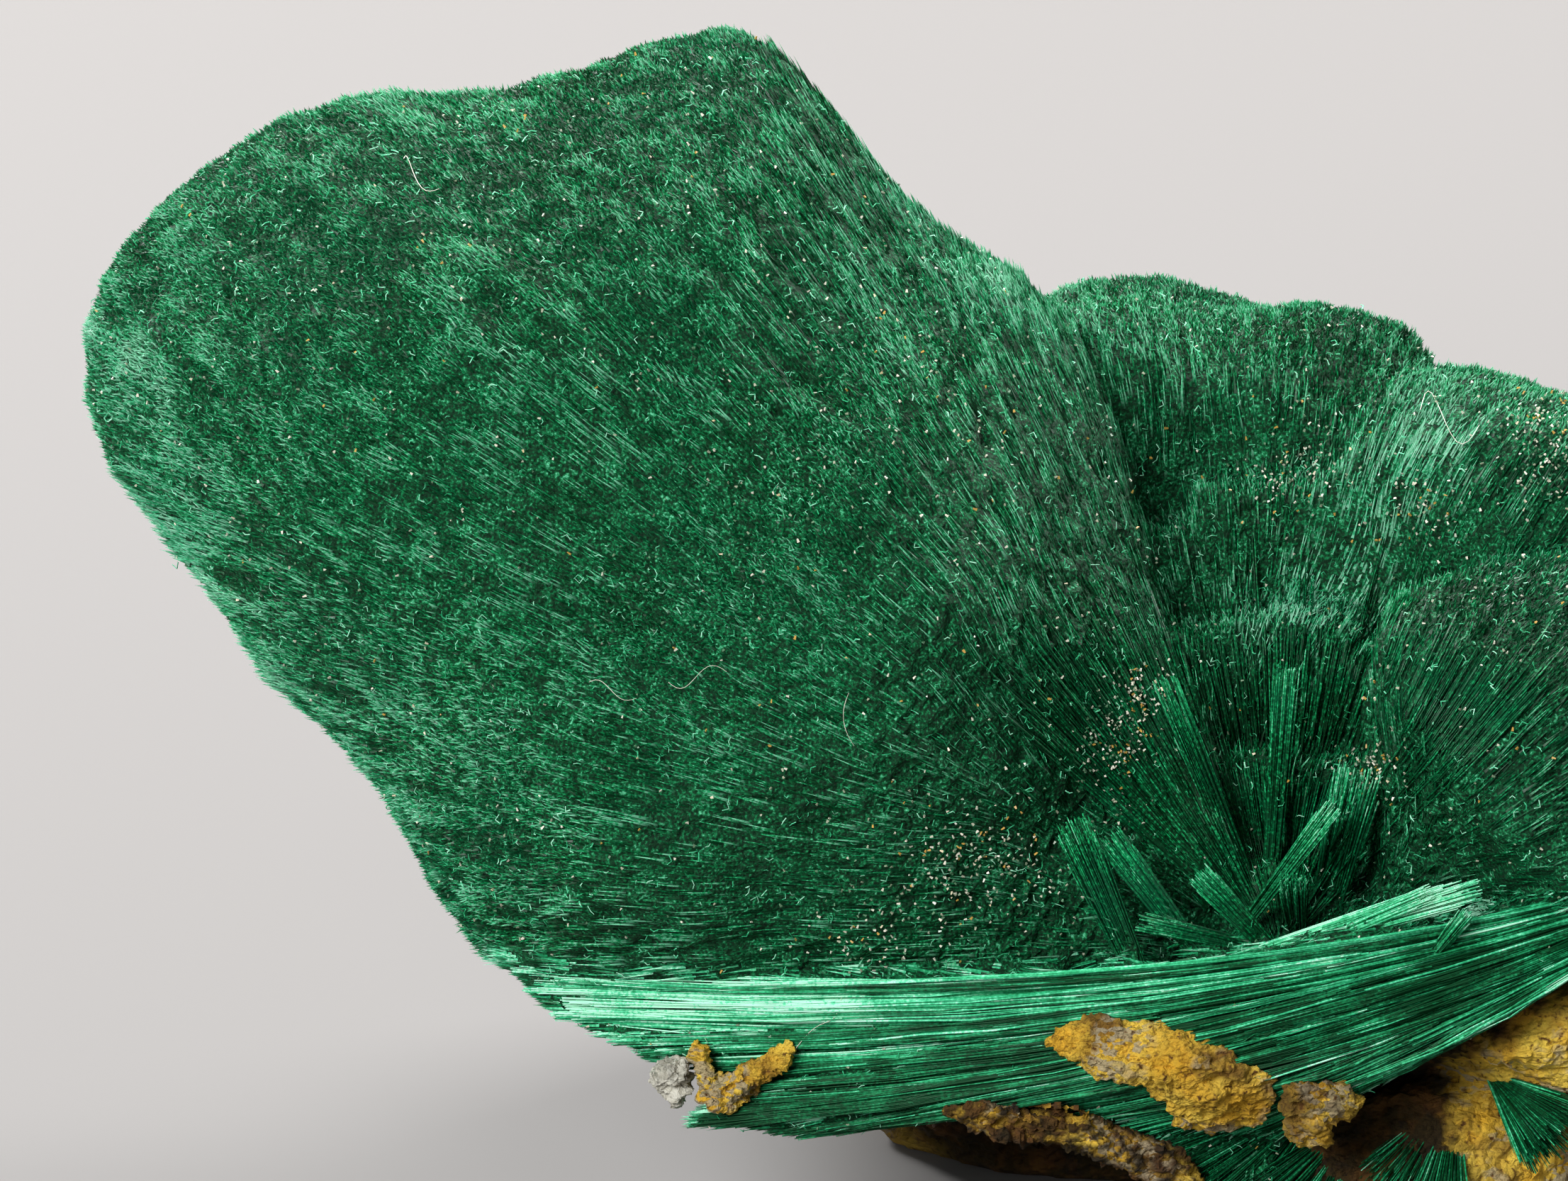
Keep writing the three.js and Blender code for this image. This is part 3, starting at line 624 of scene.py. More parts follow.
# The sheaf's fibres run from one root on the right to tips on the left. Each guide is the way of
# one of them: the point that bends it, then its tip. The first guide is the top edge.
sheaf = {
    "root": (7.2, -6.4, 1.0),
    "rootSpread": 0.9,
    "bow": -9.4,
    "via": [(-3.2, -1.9), (-2.9, -2.1), (-2.6, -2.25), (-2.2, -2.4), (-1.8, -2.55), (-1.4, -2.8),
            (-0.6, -3.0), (0.6, -2.9), (1.8, -2.6), (3.2, -2.1)],
    "tip": [(-15.1, -4.3, -0.8), (-14.8, -4.3, -1.4), (-13.9, -4.6, -2.1), (-12.6, -4.9, -2.5),
            (-11.2, -5.3, -2.95), (-11.8, -5.9, -3.9), (-9.6, -6.1, -4.05), (-7.0, -6.2, -3.55),
            (-3.6, -6.0, -4.1), (-0.4, -5.8, -4.0)],
    "thick": 2.8,
    "bundles": 230,
    "fibres": 20,        # in each bundle
    "steps": 7,
    "girth": 0.016,
    "wobble": 0.028,
    "bundleWidth": (0.03, 0.12),
    "bundleDepth": 0.14,
    "lift": (-0.15, 0.45),
    "broken": 0.5,       # the share of bundles that break short, and where they do
    "breaks": (0.35, 0.95),
    "late": 0.3,         # the share that begins late, and where it does
    "lateBegins": (0.1, 0.6),
    "tone": (-0.2, 0.62),
    "sway": 0.34,
    "slope": 0.8,        # how far a broken bundle may turn off
    "girths": (0.6, 1.6),
    "paintedPaler": (0.2, 0.65),   # painted light: lighter towards the broken end, and more along the top edge
    # painted shade: the lower part, where the sheaf turns under, is coloured darker
    "lower": -0.12,
    "shadedFinger": -0.55,     # painted shade: the fingers at the lower left are coloured darker
    "glints": 0.75,
    "seed": 4,
}
sheafVia = np.array([(x, sheaf["bow"], z) for x, z in sheaf["via"]])
sheafTip = np.array(sheaf["tip"])


def sheafPoint(across, share):
    across, share = np.broadcast_arrays(across, share)
    first = np.clip(np.floor(across).astype(int), 0, len(sheafVia) - 2)
    part = (across - first)[..., None]
    down = across / (len(sheafVia) - 1) * sheaf["rootSpread"]
    rootX, rootY, rootZ = sheaf["root"]
    start = np.stack([rootX - down * 0.5, np.full(down.shape, rootY), rootZ - down], -1)
    via = sheafVia[first] * (1 - part) + sheafVia[first + 1] * part
    end = sheafTip[first] * (1 - part) + sheafTip[first + 1] * part
    s = share[..., None]
    return start * (1 - s) ** 2 + via * 2 * s * (1 - s) + end * s ** 2


# Which way the fibres run at any point: away from the root of the fan that the point is on
fans = {
    "lobeRoot": (-0.5, 1.4, -0.6),
    "domes": [  # root, tip, half angles across and in depth
        ((-0.6, 3.0, -0.5), (-3.6, 4.4, 12.2), (17, 26)),
        ((-0.4, 3.0, -0.5), (-0.4, 4.6, 12.4), (19, 26)),
        ((0.6, 1.0, -0.5), (5.0, 0.6, 10.4), (22, 24)),
        ((1.0, -1.2, -1.2), (6.8, -6.2, 4.8), (36, 30)),
        ((2.0, -1.0, -1.5), (12.4, -2.4, 3.4), (31, 32)),
        ((1.6, 2.2, -1.2), (10.8, 6.8, 5.4), (34, 33)),
        ((0.8, 3.4, -1.0), (3.4, 11.8, 6.8), (37, 33)),
        ((-1.6, 3.2, -1.0), (-6.6, 10.6, 7.8), (37, 34)),
        ((0.4, 1.6, -4.0), (-0.4, -4.4, -0.8), (40, 34)),
    ],
    "tuck": 0.15,
    "near": 0.6,   # a point further than this from every dome belongs to the lobe
}


def fanAim(points):
    best = np.full(len(points), fans["near"])
    aim = unit(points - np.array(fans["lobeRoot"]))
    for root, tip, spread in fans["domes"]:
        root, tip = np.array(root), np.array(tip)
        axis = unit(tip - root)
        reach = np.linalg.norm(tip - root)
        side = unit(np.array([axis[2], 0.0, -axis[0]]))
        deep = unit(np.cross(axis, side))
        away = points - root
        far = np.maximum(np.linalg.norm(away, axis=1), 1e-6)
        angle = np.arccos(np.clip(away @ axis / far, -1, 1))
        turn = np.arctan2(away @ deep, away @ side)
        widest = np.radians(1 / np.hypot(np.cos(turn) / spread[0], np.sin(turn) / spread[1]))
        lean = angle / widest
        cap = reach * (1 - fans["tuck"] * np.minimum(lean, 1) ** 4)
        offSide = far * np.sin(np.clip(np.abs(lean - 1) * widest, 0, 1.5))
        inside = np.minimum(np.abs(far - cap), np.where(far < cap, offSide, 1e9))
        miss = np.where(lean <= 1, inside, np.hypot(offSide, np.maximum(far - cap, 0)))
        nearer = miss < best
        best[nearer] = miss[nearer]
        aim[nearer] = (away / far[:, None])[nearer]
    return aim


def nearSheaf(points):
    across, share = np.meshgrid(np.linspace(0, 9, 73), np.linspace(0, 1, 90), indexing="ij")
    spots = sheafPoint(across, share)
    flow = unit(np.gradient(spots, axis=1)).reshape(-1, 3)
    spots = spots.reshape(-1, 3)
    nearest = np.zeros(len(points), int)
    gap = np.full(len(points), 1e9)
    low = spots[:, [0, 2]].min(0) - 1
    high = spots[:, [0, 2]].max(0) + 1
    flat = points[:, [0, 2]]
    close = np.nonzero(((flat > low) & (flat < high)).all(1))[0]
    for part in np.array_split(close, max(1, len(close) // 1500)):
        away = ((flat[part, None, :] - spots[None, :, [0, 2]]) ** 2).sum(-1)
        nearest[part] = away.argmin(1)
        gap[part] = np.sqrt(away.min(1))
    depth = points[:, 1] - spots[nearest, 1]
    inside = (gap < 0.35) & (depth > -0.8) & (depth < sheaf["thick"] + 0.3)
    return inside, flow[nearest], depth


core = {
    "voxel": 0.2,
    "rounds": 90,          # smoothing of the velvet
    "giveBack": 0.94,      # keeps the smoothing from shrinking the form
    "sheafRounds": 0.1,    # how much of that smoothing the sheaf and the hollow get
    "steps": ((1.4, 6.8), (3.0, 2.6)),   # middle and half size of the rear fan's steps
    "stepRounds": 45,      # further smoothing of the steps
    "bunch": 0.26,         # width of the bunches at 11 mm from the root
    "bunchHeight": 0.17,
    "inset": 0.08,
}
velvet = {
    "depth": 0.15,         # how far the needles stand out of the core
    "shortest": 0.16,
    "longest": 0.6,
    "flank": 0.04,         # how steeply a fibre that lies along a flank still rises
    "upright": (0.35, 0.55),   # from where the stray grows with the rise, and over how much
    "thinnest": 0.16,      # the least share of the needles that a flank keeps
    "filled": 0.62,        # how many needles a spacing's square holds
    "seat": 0.5,           # no needles this near to the matrix
    "silk": 0.08,
    "sheafSilk": 0.85,
    "stray": (0.05, 0.6),  # how far a fibre leans at random, on a flank and on a cap
    "comb": 0.4,
    "combMost": 0.75,
    "combFrom": (-0.4, -0.6),
    "combed": [   # stretches that are combed more: from, to, half width, and from where
        ((-3.0, 9.5), (2.2, 10.6), 2.2, (-0.4, -0.6)),
        ((-6.5, 4.0), (-5.0, 10.5), 2.0, (-0.4, -0.6)),
        ((-22.0, 9.0), (-15.0, 0.5), 1.8, (-0.4, -0.6)),
        ((-13.0, 0.6), (-6.0, 1.6), 2.3, (-0.4, -0.6)),
        ((3.0, 3.0), (6.0, 6.5), 1.6, (-0.4, -0.6)),
        ((-0.3, 4.5), (3.4, 9.6), 1.5, (-4.0, -1.0)),
    ],
    "bunchTone": 0.7,
    "girth": 0.029,
    "spacing": 0.051,
    "density": 700.0,
    "backCover": 0.24,     # the needles behind are fewer and thicker
    "backGirth": 2.2,
    "perPiece": 45000,
}
paintedLightAndShade = {   # painted light and shade: stretches coloured lighter where light falls and darker where shade falls: from, to, half width, amount
    "stretches": [
        ((-22.9, 11.3), (-21.4, 7.3), 1.0, 0.48),    # the lobe's left edge
        ((-21.4, 7.3), (-17.0, 1.9), 0.6, 0.30),
        ((-21.8, 14.0), (-17.6, 15.9), 0.6, 0.05),   # its rim
        ((-18.2, 15.9), (-15.2, 16.0), 0.6, 0.30),
        ((-14.0, 15.2), (-9.8, 16.4), 1.5, -0.32),
        ((-9.5, 16.3), (-7.1, 13.3), 0.6, 0.10),     # its slope on the right
        ((-7.1, 13.3), (-3.8, 10.9), 1.2, 0.45),
        ((-15.0, 9.0), (-12.5, 10.5), 1.6, 0.12),    # soft patches of painted light on its front
        ((-16.5, 3.6), (-13.5, 4.0), 1.3, 0.12),
        ((-19.0, 11.5), (-17.5, 9.5), 1.8, -0.10),
        ((-0.3, 5.2), (2.6, 9.2), 1.0, 0.95),        # left flank of the right-hand fan
        ((2.7, 9.9), (5.6, 9.9), 1.3, 0.40),
        ((4.6, 5.2), (7.0, 4.0), 2.8, -0.72),        # its face
        ((-3.0, 8.5), (2.4, 10.0), 2.0, -0.14),      # the rear fan
        ((-15.5, 1.5), (-9.0, 0.0), 1.8, -0.10),     # the lobe's foot
        ((-3.4, 2.8), (1.0, 2.4), 2.4, -0.44),       # the hollow
        ((-17.5, 12.0), (-15.0, 13.5), 1.6, -0.16),  # patches of painted shade on the lobe's front
        ((-11.5, 5.5), (-9.0, 6.5), 1.7, -0.10),
    ],
    "top": -0.12,   # painted shade: what faces up is coloured darker
    # painted light: where light falls, these stretches take the lighter silky colour: from, to, half
    # width, share
    "silky": [((-0.3, 5.2), (2.6, 9.2), 1.0, 0.55), ((-22.9, 11.3), (-21.0, 6.5), 0.9, 0.45),
              ((-7.1, 13.3), (-3.8, 10.9), 1.0, 0.35), ((-21.0, 6.5), (-16.5, 1.5), 0.5, 0.3)],
}


def buildCore():
    mesh = keepBiggest(voxelSkin(copyNode("fibrous_malachite"), core["voxel"]))
    points, edges = readPoints(mesh), readEdges(mesh)
    inSheaf, flow, depth = nearSheaf(points)
    hollow = (np.hypot(points[:, 0] + 0.5, points[:, 2] - 2.5) < 4.5) & (points[:, 1] > -8)
    keen = np.where(inSheaf | hollow, core["sheafRounds"], 1.0)
    keen = relax(keen[:, None] * np.ones(3), edges, np.full(len(keen), 0.5), 12)[:, 0]
    points = relax(points, edges, 0.5 * keen, core["rounds"], core["giveBack"])
    (stepX, stepZ), (halfWide, halfHigh) = core["steps"]
    soft = np.exp(-((points[:, 0] - stepX) / halfWide) ** 2
                  - ((points[:, 2] - stepZ) / halfHigh) ** 2) * (points[:, 1] < 3.5)
    points = relax(points, edges, 0.5 * soft, core["stepRounds"])
    writePoints(mesh, points)
    normals = readPoints(mesh, "normal")
    aim = fanAim(points)
    aim[inSheaf] = flow[inSheaf]
    aim = combAim(points, normals, aim, inSheaf)
    rise = (aim * normals).sum(1)
    bunches = np.array([noise.noise(Vector(a) * 11 / core["bunch"]) for a in aim])
    out = core["bunchHeight"] * bunches - core["inset"] * np.clip(rise, 0.15, 1)
    points = points + normals * out[:, None]
    writePoints(mesh, points)
    return mesh, points, normals, aim, inSheaf, bunches


def nearStretch(points, begin, end, halfWide):
    begin, end = np.array(begin), np.array(end)
    away = points[:, [0, 2]] - begin
    share = np.clip(away @ (end - begin) / ((end - begin) ** 2).sum(), 0, 1)
    off = np.linalg.norm(away - share[:, None] * (end - begin), axis=1)
    return np.exp(-(off / halfWide) ** 2)


# Painted light and shade at each point: the stretches above, and darker where the surface faces up
def paintedLightAt(points, normals):
    tone = paintedLightAndShade["top"] * np.clip(normals[:, 2], 0, 1)
    for begin, end, halfWide, amount in paintedLightAndShade["stretches"]:
        tone += amount * nearStretch(points, begin, end, halfWide)
    return tone


# The front is combed outwards from the root, as the viewer sees it, in some stretches more
def combAim(points, normals, aim, inSheaf):
    toViewer = np.clip(0.4 - normals[:, 1] * 2, 0, 1) * ~inSheaf

    def combed(aim, amount, root):
        share = (amount * toViewer)[:, None]
        outwards = np.stack([points[:, 0] - root[0], np.zeros(len(points)),
                             points[:, 2] - root[1]], 1)
        return unit(aim * (1 - share) + unit(outwards) * share)

    aim = combed(aim, velvet["comb"], velvet["combFrom"])
    for begin, end, halfWide, root in velvet["combed"]:
        aim = combed(aim, velvet["combMost"] * nearStretch(points, begin, end, halfWide), root)
    return aim


def dressCore(mesh, points, normals, aim, inSheaf, bunches):
    matrix = surfaceTree(copyNode("limonite_matrix"))
    seat = np.array([matrix.find_nearest(Vector(p))[3] for p in points])
    lift = np.maximum(velvet["flank"] - (aim * normals).sum(1), 0)
    aim = unit(aim + normals * lift[:, None])
    upright = np.clip((aim * normals).sum(1), velvet["flank"], 1)
    reach = np.clip(velvet["depth"] / upright, velvet["shortest"], velvet["longest"])
    behind = np.clip((normals[:, 1] - 0.1) / 0.4, 0, 1)
    cover = np.clip(upright ** 1.2, velvet["thinnest"], 1)
    cover *= 1 - behind * (1 - velvet["backCover"])
    cover[seat < velvet["seat"]] = 0
    girth = velvet["girth"] * (1 + behind * (velvet["backGirth"] - 1))
    storeField(mesh, "aim", aim, "FLOAT_VECTOR")
    storeField(mesh, "reach", reach)
    storeField(mesh, "cover", cover)
    storeField(mesh, "girth", girth)
    low, high = velvet["stray"]
    start, over = velvet["upright"]
    storeField(mesh, "stray", low + (high - low) * np.clip((upright - start) / over, 0, 1))
    silk = velvet["silk"] * (1 - upright)
    for begin, end, halfWide, amount in paintedLightAndShade["silky"]:
        silk = np.maximum(silk, amount * nearStretch(points, begin, end, halfWide))
    storeField(mesh, "silk", np.where(inSheaf, velvet["sheafSilk"], silk))
    # The needles' tone: painted light and shade, and each bunch's own tone
    storeField(mesh, "tone", paintedLightAt(points, normals) + velvet["bunchTone"] * bunches)
    corners = np.empty(len(mesh.loops), np.int32)
    mesh.loops.foreach_get("vertex_index", corners)
    starts = np.empty(len(mesh.polygons), np.int32)
    mesh.polygons.foreach_get("loop_start", starts)
    areas = np.empty(len(mesh.polygons), np.float32)
    mesh.polygons.foreach_get("area", areas)
    first = corners[starts]
    expected = areas * cover[first] * velvet["filled"] / velvet["spacing"] ** 2
    order = np.argsort(points[first, 0])
    total = np.cumsum(expected[order])
    zones = np.empty(len(areas), int)
    zoneCount = int(math.ceil(total[-1] / velvet["perPiece"]))
    zones[order] = np.minimum(total / total[-1] * zoneCount, zoneCount - 1).astype(int)
    storeField(mesh, "zone", zones, "INT", "FACE")
    print(f"core: {len(points)} points, about {total[-1]:.0f} needles in {zoneCount} zones")
    return zoneCount


coreMesh, *coreFields = buildCore()
zoneCount = dressCore(coreMesh, *coreFields)
for zone in range(zoneCount):
    field = runTree(coreMesh.copy(), needleTree, {
        "Zone": zone, "Spacing": velvet["spacing"], "Density": velvet["density"],
        "Seed": zone + 1, "Material": fibreMaterial,
    })
    addPiece(f"malachite_needles_{zone + 1}", field, "fibrous_malachite")
print("needles made")


# Strands: rows of points with a girth and a shade each

def strandMesh(paths, girth, shade, silk, taper=0.55):
    count, steps = paths.shape[:2]
    mesh = bpy.data.meshes.new("paths")
    first = (np.arange(count) * steps)[:, None] + np.arange(steps - 1)
    edges = np.stack([first, first + 1], -1).reshape(-1, 2)
    mesh.from_pydata(paths.reshape(-1, 3).tolist(), edges.tolist(), [])
    along = np.broadcast_to(np.linspace(0, 1, steps), (count, steps))
    thin = 1 - (1 - taper) * along ** 3
    storeField(mesh, "girth", (girth[:, None] * thin).ravel())
    shade = np.broadcast_to(shade.reshape(count, -1), (count, steps))
    storeField(mesh, "shade", np.clip(shade, 0, 1).ravel())
    storeField(mesh, "silk", np.repeat(silk, steps))
    storeField(mesh, "along", (0.35 + 0.65 * along).ravel())
    return mesh


def addStrands(name, paths, girth, shade, silk, node="fibrous_malachite", material=None):
    mesh = strandMesh(paths, girth, shade, silk)
    rods = runTree(mesh, strandTree, {"Sides": 3, "Material": material or fibreMaterial})
    return addPiece(name, rods, node)


# Litter on the velvet: short curls, a few long hairs and dust
litter = {
    "curls": 5000,
    "curlLength": (0.05, 0.19),
    "curlGirth": 0.0105,
    "curlBend": 0.6,
    "curlRise": (0.08, 0.18),
    "curlShade": (0.4, 1.1),
    "curlSilk": 0.8,
    "hairs": [   # where a long hair begins and ends, as the viewer sees it, and its bend
        ((-17.1, 14.6), (-16.4, 14.0), 0.25), ((-13.5, 4.6), (-12.6, 4.3), 0.12),
        ((-12.0, 4.6), (-10.9, 4.8), -0.15), ((-8.6, 4.4), (-8.5, 3.4), 0.15),
        ((2.4, 9.8), (3.5, 9.5), 0.4), ((-9.7, -2.5), (-8.7, -1.2), 0.15),
    ],
    "hairGirth": 0.009,
    "hairRise": 0.3,
    "hairShade": 0.62,
    "dust": [   # where dust gathers: middle, reach, amount
        ((-3.1, 4.3), 0.45, 0.8), ((-3.6, 3.4), 0.55, 0.8), ((-3.4, 2.2), 0.4, 0.35),
        ((-7.2, 0.8), 1.0, 0.25), ((-5.8, 1.2), 0.9, 0.25), ((-8.4, -0.4), 0.5, 0.3),
        ((0.2, 8.6), 0.8, 0.25), ((5.0, 8.9), 0.8, 0.6), ((2.6, 7.9), 0.6, 0.35),
        ((1.3, 2.9), 0.4, 0.5), ((-8.2, 9.0), 3.0, 0.02),
    ],
    "dustEverywhere": 0.012,
    "grain": 0.026,
    "streaks": 2300,   # long fibres that run out from the root over the hollow's steps
    "streakFrom": (-0.35, -0.6),
    "streakAngles": (46, 140),
    "streakGirth": 0.02,
    "streakBegin": (0.4, 6.0),
    "streakLong": (0.5, 2.6),
    "streakJump": 0.75,   # a step in depth that ends the surface they lie on
    "streakSilk": 0.2,
}


# Fibres that lie on the front of the core, as far as it doesn't jump away behind them
def buildStreaks(front):
    paths = []
    fromX, fromZ = litter["streakFrom"]
    share = np.linspace(0, 1, 5)
    while len(paths) < litter["streaks"]:
        angle = math.radians(rng.uniform(*litter["streakAngles"]))
        begin = rng.uniform(*litter["streakBegin"])
        away = begin + rng.uniform(*litter["streakLong"]) * share
        xs = fromX + np.cos(angle) * away
        zs = fromZ + np.sin(angle) * away
        hits = [front.ray_cast(Vector((x, -40, z)), Vector((0, 1, 0)))[0] for x, z in zip(xs, zs)]
        if all(hits):
            ys = np.array([hit.y for hit in hits])
            if np.abs(np.diff(ys)).max() < litter["streakJump"]:
                paths.append(np.stack([xs, ys - rng.uniform(0.02, 0.16), zs], 1))
    count = len(paths)
    bunches = np.array([noise.noise(Vector((path[0, 0], path[0, 2], 0)) * 3) for path in paths])
    addStrands("malachite_streaks", np.stack(paths),
               litter["streakGirth"] * rng.uniform(0.6, 1.5, count),
               0.13 + 0.35 * bunches + rng.normal(0, 0.14, count), np.full(count, litter["streakSilk"]))


def buildLitter():
    count = len(coreMesh.polygons)
    fields = {"center": np.empty(count * 3, np.float32), "normal": np.empty(count * 3, np.float32)}
    for key, values in fields.items():
        coreMesh.polygons.foreach_get(key, values)
    centres, normals = (values.reshape(-1, 3).astype(float) for values in fields.values())
    toViewer = normals[:, 1] < -0.3
    curls = litter["curls"]
    picked = rng.choice(np.nonzero(toViewer)[0], curls)
    normal = normals[picked]
    across = unit(np.cross(normal, rng.normal(0, 1, (curls, 3))))
    other = np.cross(normal, across)
    long = rng.uniform(*litter["curlLength"], (curls, 1))
    bend = rng.uniform(-litter["curlBend"], litter["curlBend"], (curls, 1))
    begin = centres[picked] + normal * rng.uniform(*litter["curlRise"], (curls, 1))
    tip = begin + across * long + normal * rng.uniform(-0.05, 0.08, (curls, 1))
    middle = (begin + tip) / 2 + other * long * bend + normal * 0.03
    addStrands("malachite_curls", np.stack([begin, middle, tip], 1),
               litter["curlGirth"] * rng.uniform(0.7, 1.6, curls),
               rng.uniform(*litter["curlShade"], curls), np.full(curls, litter["curlSilk"]))

    front = surfaceTree(coreMesh)
    buildStreaks(front)
    share = np.linspace(0, 1, 14)
    paths = []
    for (fromX, fromZ), (toX, toZ), bow in litter["hairs"]:
        xs = fromX + (toX - fromX) * share + bow * (toZ - fromZ) * np.sin(np.pi * share)
        zs = fromZ + (toZ - fromZ) * share + bow * (toX - fromX) * np.sin(2 * np.pi * share)
        hits = [front.ray_cast(Vector((x, -40, z)), Vector((0, 1, 0)))[0] for x, z in zip(xs, zs)]
        if all(hits):
            ys = np.array([hit.y for hit in hits]) - litter["hairRise"]
            paths.append(np.stack([xs, ys, zs], 1))
    addStrands("lint_hairs", np.stack(paths), np.full(len(paths), litter["hairGirth"]),
               np.full(len(paths), litter["hairShade"]), np.zeros(len(paths)), material=dustMaterial)

    points, normals = readPoints(coreMesh), readPoints(coreMesh, "normal")
    cover = np.full(len(points), litter["dustEverywhere"])
    for middle, reach, amount in litter["dust"]:
        cover += amount * nearStretch(points, middle, (middle[0] + 0.01, middle[1]), reach)
    dusty = coreMesh.copy()
    changed = {"cover": cover * (normals[:, 1] < -0.2), "reach": np.full(len(points), 0.07),
               "girth": np.full(len(points), litter["grain"]), "stray": np.full(len(points), 3.0),
               "tone": np.full(len(points), -0.1)}
    for key, values in changed.items():
        dusty.attributes[key].data.foreach_set("value", values.astype(np.float32))
    dusty.attributes["zone"].data.foreach_set("value", np.zeros(count, np.int32))
    writePoints(dusty, points + normals * 0.12)
    specks = runTree(dusty, needleTree, {
        "Zone": 0, "Spacing": 0.05, "Density": 260.0, "Tip": 0.6, "Clump": 0.6, "Seed": 77,
        "Material": dustMaterial,
    })
    addPiece("dust_specks", specks, "fibrous_malachite")


buildLitter()
addPiece("malachite_core", coreMesh, "fibrous_malachite", coreMaterial)
print("litter made")


def buildSheaf():
    rng = np.random.default_rng(sheaf["seed"])
    bundles, each, steps = sheaf["bundles"], sheaf["fibres"], sheaf["steps"]
    across = (np.arange(bundles) + rng.uniform(0, 1, bundles)) / bundles * 9
    rng.shuffle(across)
    wide = rng.uniform(*sheaf["bundleWidth"], bundles)
    lift = rng.uniform(*sheaf["lift"], bundles)
    broken = rng.random(bundles) < sheaf["broken"]
    ends = np.where(broken, rng.uniform(*sheaf["breaks"], bundles), rng.uniform(0.95, 1.0, bundles))
    begins = np.where(rng.random(bundles) < sheaf["late"],
                      rng.uniform(*sheaf["lateBegins"], bundles), 0.0)
    tone = rng.uniform(*sheaf["tone"], bundles)
    sway = rng.uniform(-sheaf["sway"], sheaf["sway"], (bundles, 2))
    turn = rng.uniform(0, 2 * np.pi, (bundles, each))
    far = np.sqrt(rng.uniform(0, 1, (bundles, each)))
    fibreAcross = across[:, None] + wide[:, None] * far * np.cos(turn)
    fibreLift = lift[:, None] + sheaf["bundleDepth"] * far * np.sin(turn)
    begin = begins[:, None] + rng.uniform(0, 0.03, (bundles, each))
    end = ends[:, None] * (1 - 0.04 * rng.random((bundles, each)) ** 2)
    share = np.linspace(0, 1, steps)
    share = begin[..., None] + (end - begin)[..., None] * share
    bend = sway[:, None, :1] * np.sin(share * 5 + sway[:, None, 1:] * 20)
    bend += (rng.normal(0, sheaf["slope"], bundles) * broken)[:, None, None] * (share - 0.6)
    paths = sheafPoint(np.clip(fibreAcross[..., None] + bend, -0.15, 9.1), share)
    paths[..., 1] -= fibreLift[..., None] * (0.4 + 0.6 * np.sin(np.pi * np.clip(share, 0, 1)))
    paths = paths.reshape(-1, steps, 3)
    count = len(paths)
    girth = sheaf["girth"] * rng.uniform(*sheaf["girths"], count)
    # Painted light: lighter towards the broken end on the left, and most of all along the top edge
    # there. Painted shade: darker over the lower part and the fingers.
    paintedPaler = np.clip((paths[..., 0] + 5.5) / -7, 0, 1)
    high = np.clip(1 - np.repeat(across, each) / 3.5, 0, 1)[:, None]
    low = np.clip((np.repeat(across, each) - 3.0) / 2.5, 0, 1)[:, None]
    paths[..., 1:] += rng.normal(0, sheaf["wobble"], (count, steps, 2))
    shadedFinger = np.clip((-6.0 - paths[..., 0]) / 1.5, 0, 1) * (np.repeat(across, each) > 4.2)[:, None]
    everywhere, along = sheaf["paintedPaler"]
    shade = np.repeat(tone, each)[:, None] + paintedPaler * (everywhere + along * high) + 0.02
    shade = shade + sheaf["lower"] * low + sheaf["shadedFinger"] * shadedFinger
    # Painted glints: a few fibres much lighter, and a tone that varies along each fibre; each fibre
    # also has its own tone
    shade = shade + sheaf["glints"] * rng.random((count, 1)) ** 8
    shade = shade + rng.normal(0, 0.15, (count, 1)) + rng.normal(0, 0.13, (count, steps))
    half = count // 2
    for label, part in (("upper", slice(0, half)), ("lower", slice(half, count))):
        addStrands(f"malachite_sheaf_{label}", paths[part], girth[part], shade[part],
                   np.ones(count)[part])


buildSheaf()
print("sheaf made")


# Laths: broken splinters of parallel fibres, from their foot to their tip
laths = {
    "splinters": [   # foot, tip, width, tone and silk
        ((-1.6, -6.4, -0.8), (3.34, -8.0, 0.73), 0.44, 0.95),
        ((-0.7, -6.6, -0.75), (2.4, -7.9, 0.62), 0.3, 0.9),
        ((0.8, -7.2, -0.3), (-1.04, -8.05, -1.92), 0.26, 0.5),
        ((2.2, -7.4, -0.9), (3.1, -8.1, 0.26), 0.24, 0.6),
        ((-1.3, -4.0, -0.4), (0.66, -5.8, 2.3), 0.32, 0.5),
        ((-2.9, -6.0, -1.4), (-4.4, -6.5, 2.0), 0.6, 0.1),
        ((-1.5, -6.2, -1.2), (-3.7, -6.3, 1.7), 0.48, 0.12),
        ((-0.1, -6.2, -1.0), (-2.0, -6.7, 1.0), 0.42, 0.15),
        ((-0.2, -5.4, -0.6), (-3.1, -7.0, 0.05), 0.3, 0.3),
        ((-0.6, -2.6, -0.4), (-0.25, -4.6, 4.9), 0.4, 0.2),
        ((-0.5, -2.8, -0.3), (-2.6, -5.2, 4.7), 0.4, 0.2),
        ((0.4, -3.2, -0.4), (1.15, -5.2, 2.95), 0.8, 0.3),
        ((0.0, -3.8, -0.4), (-0.15, -5.6, 0.92), 0.5, 0.25),
    ],
    "fibresPerWidth": 150,
    "girth": 0.021,
    "steps": 4,
    "flat": 0.4,          # thickness against width
    "ragged": 0.22,       # how much shorter some fibres end
    "splay": 0.03,
    "tone": -0.18,
    "paleTips": 0.6,
}


